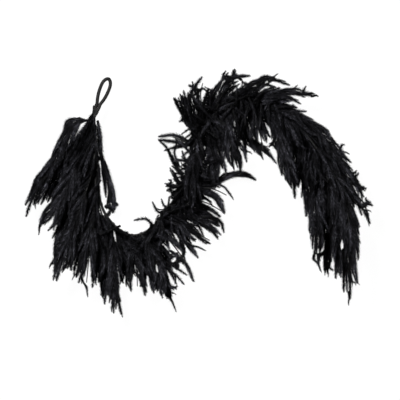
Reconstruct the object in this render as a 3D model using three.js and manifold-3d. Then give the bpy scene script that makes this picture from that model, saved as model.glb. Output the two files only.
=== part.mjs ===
// Artificial Norfolk-pine garland: a bendable wire core wrapped in tape, a hanging loop of covered
// wire at each end, and flat needle sprays tied along the core.  Millimetres, +Z up, lying on a flat
// surface in an S.  The origin is under the middle of the garland, on the surface it lies on.
import * as THREE from "three";
import { mergeVertices } from "three/addons/utils/BufferGeometryUtils.js";
import Module from "manifold-3d";

// ---------------------------------------------------------------- driving dimensions
const CORE_RADIUS = 4; // steel wire with its tape wrap
const CORE_HEIGHT = 50; // centreline of the core above the surface
const CORE_SECTIONS = 9; // stiff lengths of the core between its bends
const HINGE_SETBACK = 4.6; // bend point to the centre of each rounded core end
const CORE_SIDES = 10;
const LOOP_WIRE_RADIUS = 4.7; // covered wire of the hanging loops
const LOOP_SETBACK = 5.25; // loop hinge to the rounded core end, and to the foot of the loop
const LOOP_LENGTH = 81; // foot to crown, centreline
const LOOP_HALF_WIDTH = 12.2; // centreline, at the widest
const BINDING_START = 7; // distance of the tape binding from the core's tip
const BINDING_LENGTH = 14;
const BINDING_CLEARANCE = 0.4;
const BINDING_THICKNESS = 2.8;
const STEM_WIDTH = 5.5; // bare stem of a spray where it meets the core

// Plan of the core's centreline, from the end with the open loop to the other end.
const CORE_PLAN = [
  [-276.8, 240.7], [-282.7, 225.6], [-285.7, 211], [-283.5, 188.6], [-280.7, 157.8], [-277.9, 107.4],
  [-275.1, 43], [-269.5, -13], [-252.7, -57.8], [-219.1, -97], [-177.1, -116.6], [-132.3, -102.6],
  [-95.9, -66.2], [-62.3, -21.4], [-31.5, 23.4], [-9.1, 71], [2.1, 121.4], [16.1, 171.8],
  [41.3, 213.8], [83.3, 241.8], [136.5, 253], [198.1, 247.4], [254.1, 227.8], [304.5, 188.6],
  [343.7, 129.8], [368.9, 65.4], [382.9, -7.4],
];

// Each spray: the core section it is tied to, its full width and depth, and the centreline of its rachis.
// pinch narrows it where it passes close to a neighbour; one that rests lies on the surface from its sixth point on.
const SPRAYS = [
  { section: 1, width: 46, depth: 23.9, path: [[-293.1, 208.8, 50.7], [-320.6, 201.5, 51.9], [-345.4, 184.3, 53], [-365.7, 157.8, 53.8], [-383.4, 126.8, 54.4], [-400.4, 94.7, 54.7], [-417.7, 62.9, 54.9], [-434.9, 31.3, 55], [-451.5, -0.4, 55], [-467.4, -32.4, 55]] },
  { section: 1, width: 52, depth: 26, path: [[-289.9, 188.5, 46.3], [-305.6, 168.5, 42.7], [-322.4, 147.6, 39.3], [-338.9, 125.4, 36.5], [-354, 101.6, 34.3], [-367.6, 76.9, 32.5], [-380.4, 51.7, 31.2], [-392.9, 26.4, 30.1], [-405.4, 1, 29.2], [-417.9, -24.2, 28.2]] },
  { section: 1, width: 32, depth: 16.6, path: [[-276.2, 183.3, 47], [-274.4, 157.5, 42.8], [-271.8, 131.9, 39.3], [-267.7, 106.6, 36.7], [-261.7, 81.7, 34.9], [-254.7, 56.9, 33.8], [-248.2, 32.1, 33.1], [-244.1, 7, 32.6], [-243.6, -18.3, 32.3], [-245.3, -43.7, 32]], pinch: [0.97, 0.97, 0.99, 1.0, 1.0, 1.0, 1.0, 1.0, 1.0, 1.0] },
  { section: 1, width: 50, depth: 26, path: [[-287.7, 165.6, 53.7], [-298.9, 135.5, 60.3], [-312.8, 105.5, 66.2], [-328.6, 75.5, 70.8], [-344.8, 45.2, 73.5], [-361.2, 14.9, 74.9], [-377.7, -15.2, 75.5], [-394.8, -45, 75.5], [-412.8, -74.1, 75.2], [-431.4, -102.9, 74.9]], pinch: [1.0, 1.0, 0.98, 0.98, 1.0, 1.0, 1.0, 1.0, 1.0, 1.0] },
  { section: 1, width: 50, depth: 26, path: [[-286.6, 139.2, 47.8], [-293.1, 103, 49], [-303.3, 67.6, 49.6], [-316, 33.2, 49.1], [-330, -0.9, 48], [-344.3, -35.1, 46.4], [-358.1, -69.5, 44.7], [-371, -104.4, 42.9], [-382.5, -139.7, 41.1], [-393.3, -175.2, 39.3]], pinch: [1.0, 0.95, 0.92, 0.98, 1.0, 1.0, 1.0, 1.0, 1.0, 1.0] },
  { section: 1, width: 50, depth: 26, path: [[-282.5, 109.6, 55.9], [-288.8, 70.6, 70.6], [-297.7, 31.9, 83.9], [-309.3, -6.5, 94.5], [-322.3, -44.9, 101.3], [-335.8, -83.3, 104.2], [-349.8, -121.5, 104.5], [-363.6, -159.6, 103.2], [-376.3, -198, 101.1], [-387.9, -236.7, 98.8]], pinch: [1.0, 1.0, 1.0, 0.96, 0.96, 1.0, 1.0, 1.0, 1.0, 1.0] },
  { section: 2, width: 52, depth: 26, path: [[-282, 76.4, 44.8], [-284.4, 42.1, 36.6], [-289.8, 7.9, 29.3], [-297.5, -26.2, 23], [-306.1, -60.3, 18], [-315, -94.3, 12], [-323.7, -128.4, 12], [-331.9, -162.5, 11.6], [-339.2, -196.8, 8.9], [-345.7, -231.3, 3.4]], pinch: [0.92, 0.92, 1.0, 1.0, 1.0, 1.0, 1.0, 1.0, 1.0, 1.0], rests: true },
  { section: 2, width: 46, depth: 23.9, path: [[-280.4, 43.1, 55.2], [-280.1, 9.5, 66.8], [-282.4, -24, 77.3], [-286.3, -58.1, 85], [-289.7, -93, 88.8], [-292.8, -127.7, 90.4], [-295.7, -162.2, 90.6], [-298.7, -196.6, 89.8], [-302.1, -230.8, 88.7], [-305.7, -265, 87.3]], pinch: [1.0, 1.0, 0.96, 0.96, 1.0, 1.0, 1.0, 1.0, 1.0, 1.0] },
  { section: 2, width: 46, depth: 23.9, path: [[-280.1, 9.7, 51.5], [-277, -20.7, 56.3], [-275.5, -50.7, 59.2], [-275.3, -78.8, 60.5], [-274.7, -105.7, 59.8], [-273, -133.1, 58.9], [-272.1, -161, 58], [-273.2, -189.1, 57.1], [-276.1, -217.3, 56.1], [-280, -245.4, 55.2]], pinch: [0.89, 0.88, 0.89, 0.89, 0.94, 0.98, 1.0, 1.0, 1.0, 1.0] },
  { section: 2, width: 44, depth: 22.9, path: [[-271.9, -30.7, 47], [-263.1, -58.1, 42.8], [-257.3, -86.8, 39.4], [-254, -116.4, 37.4], [-251.3, -146.2, 35.8], [-249.7, -176.1, 34.7], [-249.3, -206.1, 34], [-250.2, -236.1, 33.6], [-252.3, -266, 33.2], [-255, -295.8, 32.9]], pinch: [0.96, 0.96, 0.99, 0.98, 0.99, 1.0, 1.0, 1.0, 1.0, 1.0] },
  { section: 3, width: 40, depth: 20.8, path: [[-258.2, -62.7, 51.5], [-243.1, -89.8, 59.6], [-233.7, -118.9, 66.4], [-229.8, -149.7, 69.9], [-227.8, -181.2, 71.1], [-225.9, -212.8, 70.8], [-223.4, -244.4, 69.6], [-219.6, -275.7, 67.8], [-214.4, -306.9, 65.7], [-208.5, -337.9, 63.6]], pinch: [0.89, 0.89, 1.0, 1.0, 1.0, 1.0, 1.0, 1.0, 1.0, 1.0] },
  { section: 3, width: 46, depth: 23.9, path: [[-235.7, -88.9, 44.8], [-223.8, -105.5, 34.3], [-215.2, -123.5, 25.5], [-209.4, -142.6, 19.3], [-204.9, -162.2, 15.1], [-201, -182, 11.1], [-198, -201.9, 11.1], [-196.3, -221.9, 10.7], [-196, -242, 8.2], [-196.2, -262.2, 3.1]], pinch: [0.99, 0.99, 1.0, 1.0, 1.0, 1.0, 1.0, 1.0, 1.0, 1.0], rests: true },
  { section: 3, width: 44, depth: 22.9, path: [[-212.5, -109.6, 53.7], [-200.1, -123.5, 57], [-189.7, -139, 60], [-181.4, -155.9, 62.7], [-174.8, -173.7, 64.8], [-169.6, -192.1, 66.6], [-166, -210.8, 68], [-164.1, -229.7, 69.2], [-163.2, -248.7, 70.3], [-162.8, -267.8, 71.4]] },
  { section: 3, width: 44, depth: 22.9, path: [[-179.1, -123.5, 47.8], [-168.8, -134.1, 45.7], [-158.8, -147.3, 43.9], [-150.1, -162.9, 42.3], [-142.8, -180, 41], [-136.9, -197.6, 40], [-132.2, -215.7, 39.2], [-128.7, -233.9, 38.5], [-126.1, -252.2, 37.8], [-123.7, -270.6, 37.2]] },
  { section: 3, width: 46, depth: 23.9, path: [[-150.9, -116.6, 55.9], [-140.4, -129.8, 60.9], [-130.1, -145.2, 65.5], [-120.6, -162.4, 69.5], [-112.3, -180.8, 72.9], [-105.4, -199.8, 75.7], [-100, -219.3, 78.1], [-96.1, -239.1, 80.1], [-92.9, -259, 82], [-90.1, -279, 83.8]] },
  { section: 4, width: 42, depth: 21.8, path: [[-125.4, -105.1, 45.6], [-116.6, -122.4, 37.5], [-107.2, -141.7, 29.8], [-98.3, -162.9, 22.9], [-90.6, -185.2, 17.1], [-84.5, -208.1, 10.1], [-79.9, -231.3, 10.1], [-76.1, -254.7, 9.8], [-72.6, -278, 7.4], [-69.3, -301.4, 2.8]], rests: true },
  { section: 4, width: 36, depth: 18.7, path: [[-106.8, -89.2, 53], [-96.1, -102.5, 55.4], [-83.9, -117.2, 57.7], [-70.9, -133.2, 59.7], [-57.9, -150, 61.4], [-45, -167.1, 62.9], [-32.8, -184.4, 64], [-22.6, -202.7, 65.1], [-14.7, -222.1, 66], [-8.1, -242.1, 66.9]] },
  { section: 4, width: 44, depth: 22.9, path: [[-91.5, -71.5, 47], [-82.6, -79.4, 44.6], [-72.5, -89.3, 42.3], [-61.9, -100.9, 40.3], [-51.4, -113.5, 38.6], [-41.2, -126.4, 37.1], [-30.9, -139.2, 36], [-20.2, -151.5, 34.9], [-9.1, -163.6, 34], [2, -175.5, 33.1]] },
  { section: 4, width: 26, depth: 13.5, path: [[-86.1, -41.8, 50], [-90.2, -44, 53], [-95.4, -44.5, 55.3], [-101.1, -43.9, 56.3], [-107, -42.1, 56.5], [-112.7, -39.3, 56], [-117.6, -35.3, 55.2], [-121.4, -30.4, 54.2], [-124.4, -24.7, 53.1], [-127, -18.8, 52]], pinch: [1.0, 0.98, 0.97, 1.0, 1.0, 1.0, 1.0, 1.0, 1.0, 1.0] },
  { section: 4, width: 44, depth: 22.9, path: [[-73.9, -46.7, 55.2], [-64.8, -56.8, 59.5], [-53.7, -67.6, 63.5], [-41.1, -78.7, 67], [-27.6, -89.5, 70], [-13.5, -99.6, 72.5], [1.1, -109, 74.6], [16.1, -117.6, 76.4], [31.4, -125.7, 78], [46.8, -133.6, 79.6]] },
  { section: 4, width: 46, depth: 23.9, path: [[-56.8, -26.2, 48.5], [-45.9, -31.4, 47.3], [-33.1, -38.2, 46.1], [-19.1, -46, 45.1], [-4.5, -54.3, 44.3], [10.2, -62.6, 43.6], [25, -70.7, 43], [39.7, -78.6, 42.5], [54.5, -86.5, 42], [69.3, -94.2, 41.5]] },
  { section: 4, width: 46, depth: 23.9, path: [[-41.6, -0.3, 44.1], [-30, -4.5, 36.2], [-17.1, -9, 28.9], [-3.2, -13.6, 22.4], [11.1, -18.2, 17.2], [25.3, -23.2, 11.1], [39.1, -29.2, 11.1], [52.3, -36.3, 10.7], [65.1, -44, 8.2], [77.8, -52, 3.1]], rests: true },
  { section: 5, width: 30, depth: 15.6, path: [[-39.7, 22.2, 53.7], [-42.9, 18.8, 56.8], [-47.7, 17.7, 59.7], [-53.3, 19, 62.2], [-58.8, 22.3, 64.3], [-63.4, 27.1, 66.1], [-66.9, 32.7, 67.6], [-69.5, 38.8, 68.8], [-71.6, 45.1, 70], [-73.6, 51.4, 71.2]] },
  { section: 5, width: 40, depth: 20.8, path: [[-25, 21.2, 53], [-15, 20.3, 57.9], [-2.9, 19, 62.5], [10.8, 17.8, 66.4], [24.9, 16.9, 69.5], [39.3, 15.3, 71.2], [53.2, 11.9, 72.1], [66.5, 6.4, 72.4], [79.2, -0.2, 72.3], [91.8, -7.1, 72.2]] },
  { section: 5, width: 26, depth: 13.5, path: [[-15.4, 39, 47], [1.1, 33.3, 40.8], [19.6, 29.8, 35.4], [39.5, 31.3, 31.6], [59.5, 38, 29.4], [78.8, 46.4, 28.5], [98.8, 51.5, 28.3], [119.5, 51.4, 28.6], [140.5, 48.2, 29.1], [161.6, 43.9, 29.7]], pinch: [1.0, 1.0, 0.98, 0.98, 1.0, 1.0, 1.0, 1.0, 1.0, 1.0] },
  { section: 5, width: 30, depth: 15.6, path: [[-12.9, 80.6, 46.3], [-17.2, 76.1, 43.2], [-23.8, 72.9, 40.3], [-32, 71.9, 37.8], [-40.4, 73.8, 35.7], [-48.1, 78.4, 33.9], [-54.7, 84.8, 32.4], [-60.4, 92.1, 31.2], [-65.7, 99.7, 30], [-70.8, 107.4, 28.8]] },
  { section: 5, width: 22, depth: 11.4, path: [[-2.8, 132.6, 50], [-10.9, 137, 50], [-21.5, 142.2, 50], [-34, 147.9, 50], [-47.4, 153.5, 50], [-61.1, 158.3, 50], [-75.2, 161.7, 50], [-89.4, 163.3, 50], [-103.8, 163.7, 50], [-118.3, 163.8, 50]] },
  { section: 6, width: 48, depth: 25, path: [[7.2, 164.9, 54.4], [2.7, 174.5, 58.2], [-3.6, 184.6, 61.6], [-11.1, 195.3, 64.6], [-18.8, 206.4, 67.2], [-25.9, 218, 69.3], [-32.4, 229.9, 71.1], [-38.1, 242, 72.6], [-43.4, 254.4, 74], [-48.5, 266.9, 75.4]] },
  { section: 6, width: 54, depth: 26, path: [[19.3, 171, 56.7], [10.9, 149.3, 63.2], [4.2, 127.2, 69.2], [-0.8, 104.7, 74.7], [-4.8, 82.1, 79.4], [-8.4, 59.3, 83.4], [-11.4, 36.4, 86.8], [-13.8, 13.5, 89.4], [-15.8, -9.6, 91.7], [-17.6, -32.6, 93.9]] },
  { section: 6, width: 50, depth: 26, path: [[26, 205.5, 47], [25.9, 216.1, 44.2], [23.8, 227.7, 41.6], [20.4, 240, 39.4], [17, 252.8, 37.7], [14.6, 265.7, 36.3], [13.9, 278.8, 35.3], [15.2, 291.8, 34.4], [17.9, 304.7, 33.6], [21.2, 317.5, 32.8]] },
  { section: 6, width: 54, depth: 26, path: [[49.5, 211.5, 50], [49.3, 191.1, 50.3], [49.3, 169, 50.6], [48.7, 145.6, 50.9], [47.4, 121.9, 51.1], [45.5, 98.2, 51.2], [43.3, 74.7, 51.1], [40.8, 51.5, 50.7], [37.7, 28.2, 50.1], [33.7, 4.3, 49.4]], pinch: [1.0, 1.0, 1.0, 1.0, 1.0, 1.0, 1.0, 0.98, 0.98, 1.0] },
  { section: 6, width: 38, depth: 19.8, path: [[67.9, 242.5, 51.5], [69.7, 253.1, 52.7], [71.4, 265.7, 53.9], [74.8, 279.3, 54.9], [80.4, 292.6, 55.7], [88.5, 304.5, 56.4], [99.1, 314.1, 57], [111.7, 321.3, 57.5], [125.2, 326.8, 58], [139.1, 331.8, 58.5]] },
  { section: 6, width: 50, depth: 26, path: [[91.5, 238.6, 54.4], [89.4, 221.6, 58.2], [88.8, 203.6, 61.6], [90.1, 184.9, 64.6], [92.9, 166.1, 67.2], [96.7, 147.3, 69.3], [101.1, 128.7, 71.1], [106, 110.3, 72.6], [111.4, 92, 74], [116.8, 73.8, 75.4]] },
  { section: 7, width: 34, depth: 17.7, path: [[114, 257.9, 51.5], [122.3, 269.8, 52.7], [132.2, 283.1, 53.9], [144.8, 295.5, 54.9], [160.3, 305, 55.7], [177.7, 311.1, 56.4], [196, 313.8, 57], [214.6, 313.3, 57.5], [233, 310.6, 58], [251.4, 306.9, 58.5]] },
  { section: 7, width: 36, depth: 18.7, path: [[125.6, 246.8, 44.8], [125.9, 227.1, 36.4], [127.3, 206.5, 28.4], [131.2, 185.7, 21.4], [138.7, 166.4, 15.5], [151.2, 150.3, 8.6], [167.7, 137.3, 8.6], [185, 124.6, 8.4], [201.8, 111, 6.4], [218.1, 96.7, 2.4]], rests: true },
  { section: 7, width: 42, depth: 21.8, path: [[155.1, 258.3, 55.2], [172.6, 263.2, 59.5], [191.1, 268.9, 63.5], [210.6, 273.8, 67], [230.6, 277.2, 70], [251, 278.9, 72.5], [271.5, 278.9, 74.6], [291.9, 277.7, 76.4], [312.3, 275.6, 78], [332.5, 273, 79.6]] },
  { section: 7, width: 46, depth: 23.9, path: [[157.8, 245.5, 49.3], [161.6, 233.5, 48.6], [165.3, 220, 48.1], [169.4, 205.6, 47.6], [173.9, 190.9, 47.1], [178.3, 176.1, 46.8], [182, 161.2, 46.5], [185, 146.1, 46.2], [187.5, 131, 46], [189.8, 115.8, 45.8]] },
  { section: 7, width: 48, depth: 25, path: [[180.4, 244.6, 54.4], [228, 237.9, 64.4], [273.1, 223, 73.2], [314.7, 199.3, 80], [350.5, 166.1, 84.2], [378.6, 125, 87.8], [401.8, 80.9, 90.1], [423.8, 37.1, 90.8], [445.5, -6.3, 90.6], [467.1, -49.5, 90]], pinch: [1.0, 1.0, 0.9, 0.89, 0.89, 0.89, 0.91, 1.0, 1.0, 1.0] },
  { section: 7, width: 50, depth: 26, path: [[212.1, 237.5, 53.7], [220.6, 216.6, 58.5], [227.7, 194.3, 62.6], [233.5, 171, 65.6], [238.7, 147.1, 67.8], [244.1, 123.2, 69.3], [250.2, 99.4, 70.4], [256.8, 75.9, 71.1], [263.7, 52.4, 71.7], [270.8, 29, 72.2]], pinch: [0.82, 0.82, 0.99, 1.0, 1.0, 1.0, 1.0, 1.0, 1.0, 1.0] },
  { section: 7, width: 50, depth: 26, path: [[218.1, 234.9, 51.8], [253.5, 206, 56.8], [287.5, 175, 61.7], [325.3, 148.1, 65], [366.5, 120.3, 64.9], [391.6, 79.6, 63.3], [408.5, 34.6, 62], [423.3, -10.7, 60.8], [438, -55.5, 59.9], [452.8, -100, 59.1]], pinch: [0.82, 0.72, 0.69, 0.71, 0.78, 0.9, 0.95, 1.0, 1.0, 1.0] },
  { section: 7, width: 48, depth: 25, path: [[233.2, 229.8, 47.8], [248.8, 202.5, 42.7], [263.4, 172.7, 38], [276.3, 141.1, 33.9], [287.3, 108.2, 30.7], [295.9, 74.6, 29.1], [302, 40.4, 28.6], [306.3, 5.8, 28.8], [309.8, -28.8, 29.3], [313.1, -63.4, 30]], pinch: [1.0, 1.0, 1.0, 0.98, 0.97, 0.99, 1.0, 1.0, 1.0, 1.0] },
  { section: 8, width: 50, depth: 26, path: [[247.9, 223.8, 46.3], [286.2, 190.9, 34.7], [320.7, 154.3, 24.5], [351.4, 114.1, 16.9], [380, 71.4, 12.9], [405.8, 26, 12.4], [423.4, -23, 12], [433.6, -73.8, 11.6], [440.5, -124.8, 11.1], [447.3, -175.6, 11.4]], pinch: [1.0, 1.0, 1.0, 0.88, 0.82, 0.82, 0.83, 0.87, 0.95, 1.0] },
  { section: 8, width: 50, depth: 26, path: [[279.5, 207.2, 56.7], [309.8, 162.4, 83.5], [340.8, 118.5, 103.3], [369.9, 73.5, 114.1], [393.4, 25.6, 118.5], [411.2, -24.8, 118.5], [424.3, -76.8, 115.7], [433.7, -129.8, 111.3], [440.3, -183.3, 106.2], [445.6, -236.9, 100.8]], pinch: [0.69, 0.69, 0.94, 1.0, 1.0, 1.0, 1.0, 1.0, 1.0, 1.0] },
  { section: 8, width: 48, depth: 25, path: [[289.4, 193.8, 52.2], [304.4, 153.8, 47.5], [317.4, 114.4, 47.9], [327.5, 76.3, 51.3], [333.6, 36.8, 54.2], [336.8, -4, 56.8], [338.2, -45.3, 59], [338.6, -86.8, 61.1], [338.5, -128.3, 63], [338.2, -169.8, 64.9]], pinch: [0.82, 0.82, 0.92, 0.99, 1.0, 1.0, 1.0, 1.0, 1.0, 1.0] },
  { section: 8, width: 46, depth: 23.9, path: [[308.5, 172.5, 48.5], [343.4, 131, 40.4], [374.4, 86.5, 35.7], [393.6, 36.8, 33.9], [405.9, -14.8, 33], [412.9, -67.5, 32.7], [417.9, -120.2, 33.2], [421.4, -173, 33.9], [423.7, -225.9, 34.6], [425.4, -278.9, 35.3]], pinch: [0.68, 0.68, 0.83, 0.82, 0.83, 0.86, 0.91, 1.0, 1.0, 1.0] },
  { section: 9, width: 46, depth: 23.9, path: [[338, 126, 53], [349.8, 86.1, 66.7], [364.9, 50.4, 76.9], [378.3, 14.2, 82.5], [387.6, -23.7, 84.7], [393.2, -62.9, 84.4], [396.1, -102.8, 82.6], [397.4, -142.9, 79.9], [397.5, -183, 77], [397.2, -223, 73.9]], pinch: [0.83, 0.83, 0.95, 0.97, 1.0, 1.0, 1.0, 1.0, 1.0, 1.0] },
  { section: 9, width: 46, depth: 23.9, path: [[360.2, 78.8, 44.1], [361.5, 44.8, 29.1], [365, 11.7, 17.9], [368.5, -20.6, 11.6], [370.5, -52.8, 11.1], [370.1, -85.4, 11.1], [368.2, -118.3, 11.1], [366.1, -151.3, 10.7], [364.4, -184.3, 8.2], [363.1, -217.4, 3.1]], pinch: [0.83, 0.83, 0.95, 0.97, 1.0, 1.0, 1.0, 1.0, 1.0, 1.0], rests: true },
];

// ---------------------------------------------------------------- materials
const black = (r, g, b, roughness) => {
  const c = new THREE.Color();
  c.setRGB(r, g, b, THREE.LinearSRGBColorSpace);
  return new THREE.MeshStandardMaterial({ color: c, roughness, metalness: 0 });
};
const foliageMaterial = () => black(0.011, 0.011, 0.013, 0.7);
const tapeMaterial = () => black(0.014, 0.014, 0.015, 0.85);
const loopMaterial = () => black(0.012, 0.012, 0.012, 0.65);

// ---------------------------------------------------------------- geometry helpers
// A closed skin over a row of rings with the same number of points; pole points close the ends.
function loft(rings, poleA, poleB, closed = false) {
  const n = rings[0].length;
  const pos = [];
  const idx = [];
  for (const ring of rings) for (const p of ring) pos.push(p.x, p.y, p.z);
  const last = closed ? rings.length : rings.length - 1;
  for (let i = 0; i < last; i++) {
    const a = i * n;
    const b = ((i + 1) % rings.length) * n;
    for (let k = 0; k < n; k++) {
      const l = (k + 1) % n;
      idx.push(a + k, a + l, b + l, a + k, b + l, b + k);
    }
  }
  if (!closed) {
    const s = pos.length / 3;
    pos.push(poleA.x, poleA.y, poleA.z, poleB.x, poleB.y, poleB.z);
    const e = (rings.length - 1) * n;
    for (let k = 0; k < n; k++) {
      const l = (k + 1) % n;
      idx.push(s, l, k);
      idx.push(s + 1, e + k, e + l);
    }
  }
  let volume = 0;
  const v = (i) => new THREE.Vector3(pos[3 * i], pos[3 * i + 1], pos[3 * i + 2]);
  for (let i = 0; i < idx.length; i += 3)
    volume += v(idx[i]).dot(v(idx[i + 1]).cross(v(idx[i + 2])));
  if (volume < 0)
    for (let i = 0; i < idx.length; i += 3) [idx[i + 1], idx[i + 2]] = [idx[i + 2], idx[i + 1]];
  const g = new THREE.BufferGeometry();
  g.setAttribute("position", new THREE.Float32BufferAttribute(pos, 3));
  g.setIndex(idx);
  g.computeVertexNormals();
  return g;
}

const up = new THREE.Vector3(0, 0, 1);
const group = new THREE.Group();
function add(name, geometry, material) {
  const mesh = new THREE.Mesh(geometry, material);
  mesh.name = name;
  group.add(mesh);
  return mesh;
}

// ---------------------------------------------------------------- core
const plan = new THREE.CatmullRomCurve3(
  CORE_PLAN.map(([x, y]) => new THREE.Vector3(x, y, CORE_HEIGHT)),
  false,
  "catmullrom",
  0.5,
);
plan.arcLengthDivisions = 1500;
const CORE_LENGTH = plan.getLength();
const at = (s) => plan.getPointAt(THREE.MathUtils.clamp(s / CORE_LENGTH, 0, 1));
const along = (s) => plan.getTangentAt(THREE.MathUtils.clamp(s / CORE_LENGTH, 0, 1));

function circleRing(centre, tangent, radius, sides, phase = 0) {
  const side = new THREE.Vector3().crossVectors(up, tangent).normalize();
  const top = new THREE.Vector3().crossVectors(tangent, side).normalize();
  const ring = [];
  for (let k = 0; k < sides; k++) {
    const t = phase + (2 * Math.PI * k) / sides;
    ring.push(
      centre
        .clone()
        .addScaledVector(side, radius * Math.cos(t))
        .addScaledVector(top, radius * Math.sin(t)),
    );
  }
  return ring;
}

// A round-ended length of core whose end domes are centred at arc lengths a and b.
function coreLength(a, b) {
  const rings = [];
  const dome = [78, 45];
  const ta = along(a);
  const tb = along(b);
  for (const d of dome) {
    const r = THREE.MathUtils.degToRad(d);
    rings.push(
      circleRing(at(a).addScaledVector(ta, -CORE_RADIUS * Math.sin(r)), ta, CORE_RADIUS * Math.cos(r), CORE_SIDES),
    );
  }
  const steps = Math.max(4, Math.round((b - a) / 16));
  for (let i = 0; i <= steps; i++) {
    const s = a + ((b - a) * i) / steps;
    rings.push(circleRing(at(s), along(s), CORE_RADIUS, CORE_SIDES));
  }
  for (const d of dome.slice().reverse()) {
    const r = THREE.MathUtils.degToRad(d);
    rings.push(
      circleRing(at(b).addScaledVector(tb, CORE_RADIUS * Math.sin(r)), tb, CORE_RADIUS * Math.cos(r), CORE_SIDES),
    );
  }
  return loft(rings, at(a).addScaledVector(ta, -CORE_RADIUS), at(b).addScaledVector(tb, CORE_RADIUS));
}

for (let k = 0; k < CORE_SECTIONS; k++) {
  const s0 = (CORE_LENGTH * k) / CORE_SECTIONS;
  const s1 = (CORE_LENGTH * (k + 1)) / CORE_SECTIONS;
  const a = k === 0 ? CORE_RADIUS : s0 + HINGE_SETBACK;
  const b = k === CORE_SECTIONS - 1 ? CORE_LENGTH - CORE_RADIUS : s1 - HINGE_SETBACK;
  add(`core_wire_${k + 1}`, coreLength(a, b), tapeMaterial());
}

// ---------------------------------------------------------------- tape bindings round the core ends
// Built as an outer sleeve less a bore that clears the core, both following its centreline.
const wasm = await Module();
wasm.setup();
function solidOf(geometry) {
  const g = mergeVertices(
    new THREE.BufferGeometry()
      .setAttribute("position", geometry.getAttribute("position"))
      .setIndex(geometry.index),
    1e-4,
  );
  return new wasm.Manifold(
    new wasm.Mesh({
      numProp: 3,
      vertProperties: new Float32Array(g.attributes.position.array),
      triVerts: new Uint32Array(g.index.array),
    }),
  );
}
function geometryOf(solid) {
  const m = solid.getMesh();
  const pos = [];
  for (let i = 0; i < m.numVert; i++)
    pos.push(m.vertProperties[i * m.numProp], m.vertProperties[i * m.numProp + 1], m.vertProperties[i * m.numProp + 2]);
  const g = new THREE.BufferGeometry();
  g.setAttribute("position", new THREE.Float32BufferAttribute(pos, 3));
  g.setIndex(Array.from(m.triVerts));
  g.computeVertexNormals();
  return g;
}
const BORE = (CORE_RADIUS + BINDING_CLEARANCE) / Math.cos(Math.PI / 12);
function sleeve(s0, s1, radii, overrun) {
  const n = radii.length - 1;
  const lead = along(s0);
  const tail = along(s1);
  const rings = radii.map((r, i) => {
    const s = s0 + ((s1 - s0) * i) / n;
    const c = at(s);
    if (i === 0) c.addScaledVector(lead, -overrun);
    if (i === n) c.addScaledVector(tail, overrun);
    return circleRing(c, along(s), r, 12);
  });
  return loft(rings, at(s0).addScaledVector(lead, -overrun), at(s1).addScaledVector(tail, overrun));
}
function binding(s0, s1) {
  const o = BORE + BINDING_THICKNESS;
  const outer = solidOf(sleeve(s0, s1, [o - 0.6, o, o - 0.35, o, o - 0.35, o, o - 0.6], 0));
  const bore = solidOf(sleeve(s0, s1, [BORE, BORE, BORE, BORE, BORE, BORE, BORE], 2));
  return geometryOf(outer.subtract(bore));
}
add("loop_binding_start", binding(BINDING_START, BINDING_START + BINDING_LENGTH), tapeMaterial());
add(
  "loop_binding_end",
  binding(CORE_LENGTH - BINDING_START - BINDING_LENGTH, CORE_LENGTH - BINDING_START),
  tapeMaterial(),
);

// ---------------------------------------------------------------- hanging loops
// Half of the teardrop outline, foot to crown: share of the length, share of the half width.
const LOOP_OUTLINE = [
  [0.035, 0.41], [0.1, 0.43], [0.19, 0.6], [0.3, 0.78], [0.42, 0.91], [0.56, 0.99], [0.69, 1.0], [0.81, 0.93], [0.91, 0.7], [0.975, 0.36],
];
function loop(foot, direction) {
  const side = new THREE.Vector3().crossVectors(up, direction).normalize();
  const p = (u, v) =>
    foot
      .clone()
      .addScaledVector(direction, u * LOOP_LENGTH)
      .addScaledVector(side, v * LOOP_HALF_WIDTH);
  const pts = [p(0, 0)];
  for (const [u, v] of LOOP_OUTLINE) pts.push(p(u, v));
  pts.push(p(1, 0));
  for (const [u, v] of LOOP_OUTLINE.slice().reverse()) pts.push(p(u, -v));
  const line = new THREE.CatmullRomCurve3(pts, true, "centripetal");
  const n = 40;
  const rings = [];
  for (let i = 0; i < n; i++) rings.push(circleRing(line.getPoint(i / n), line.getTangent(i / n), LOOP_WIRE_RADIUS, 8, Math.PI / 8));
  return loft(rings, null, null, true);
}
const startDirection = along(0).negate();
const endDirection = along(CORE_LENGTH);
const footDistance = 2 * LOOP_SETBACK - CORE_RADIUS;
add("hanging_loop_start", loop(at(0).addScaledVector(startDirection, footDistance), startDirection), loopMaterial());
add("hanging_loop_end", loop(at(CORE_LENGTH).addScaledVector(endDirection, footDistance), endDirection), loopMaterial());

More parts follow.
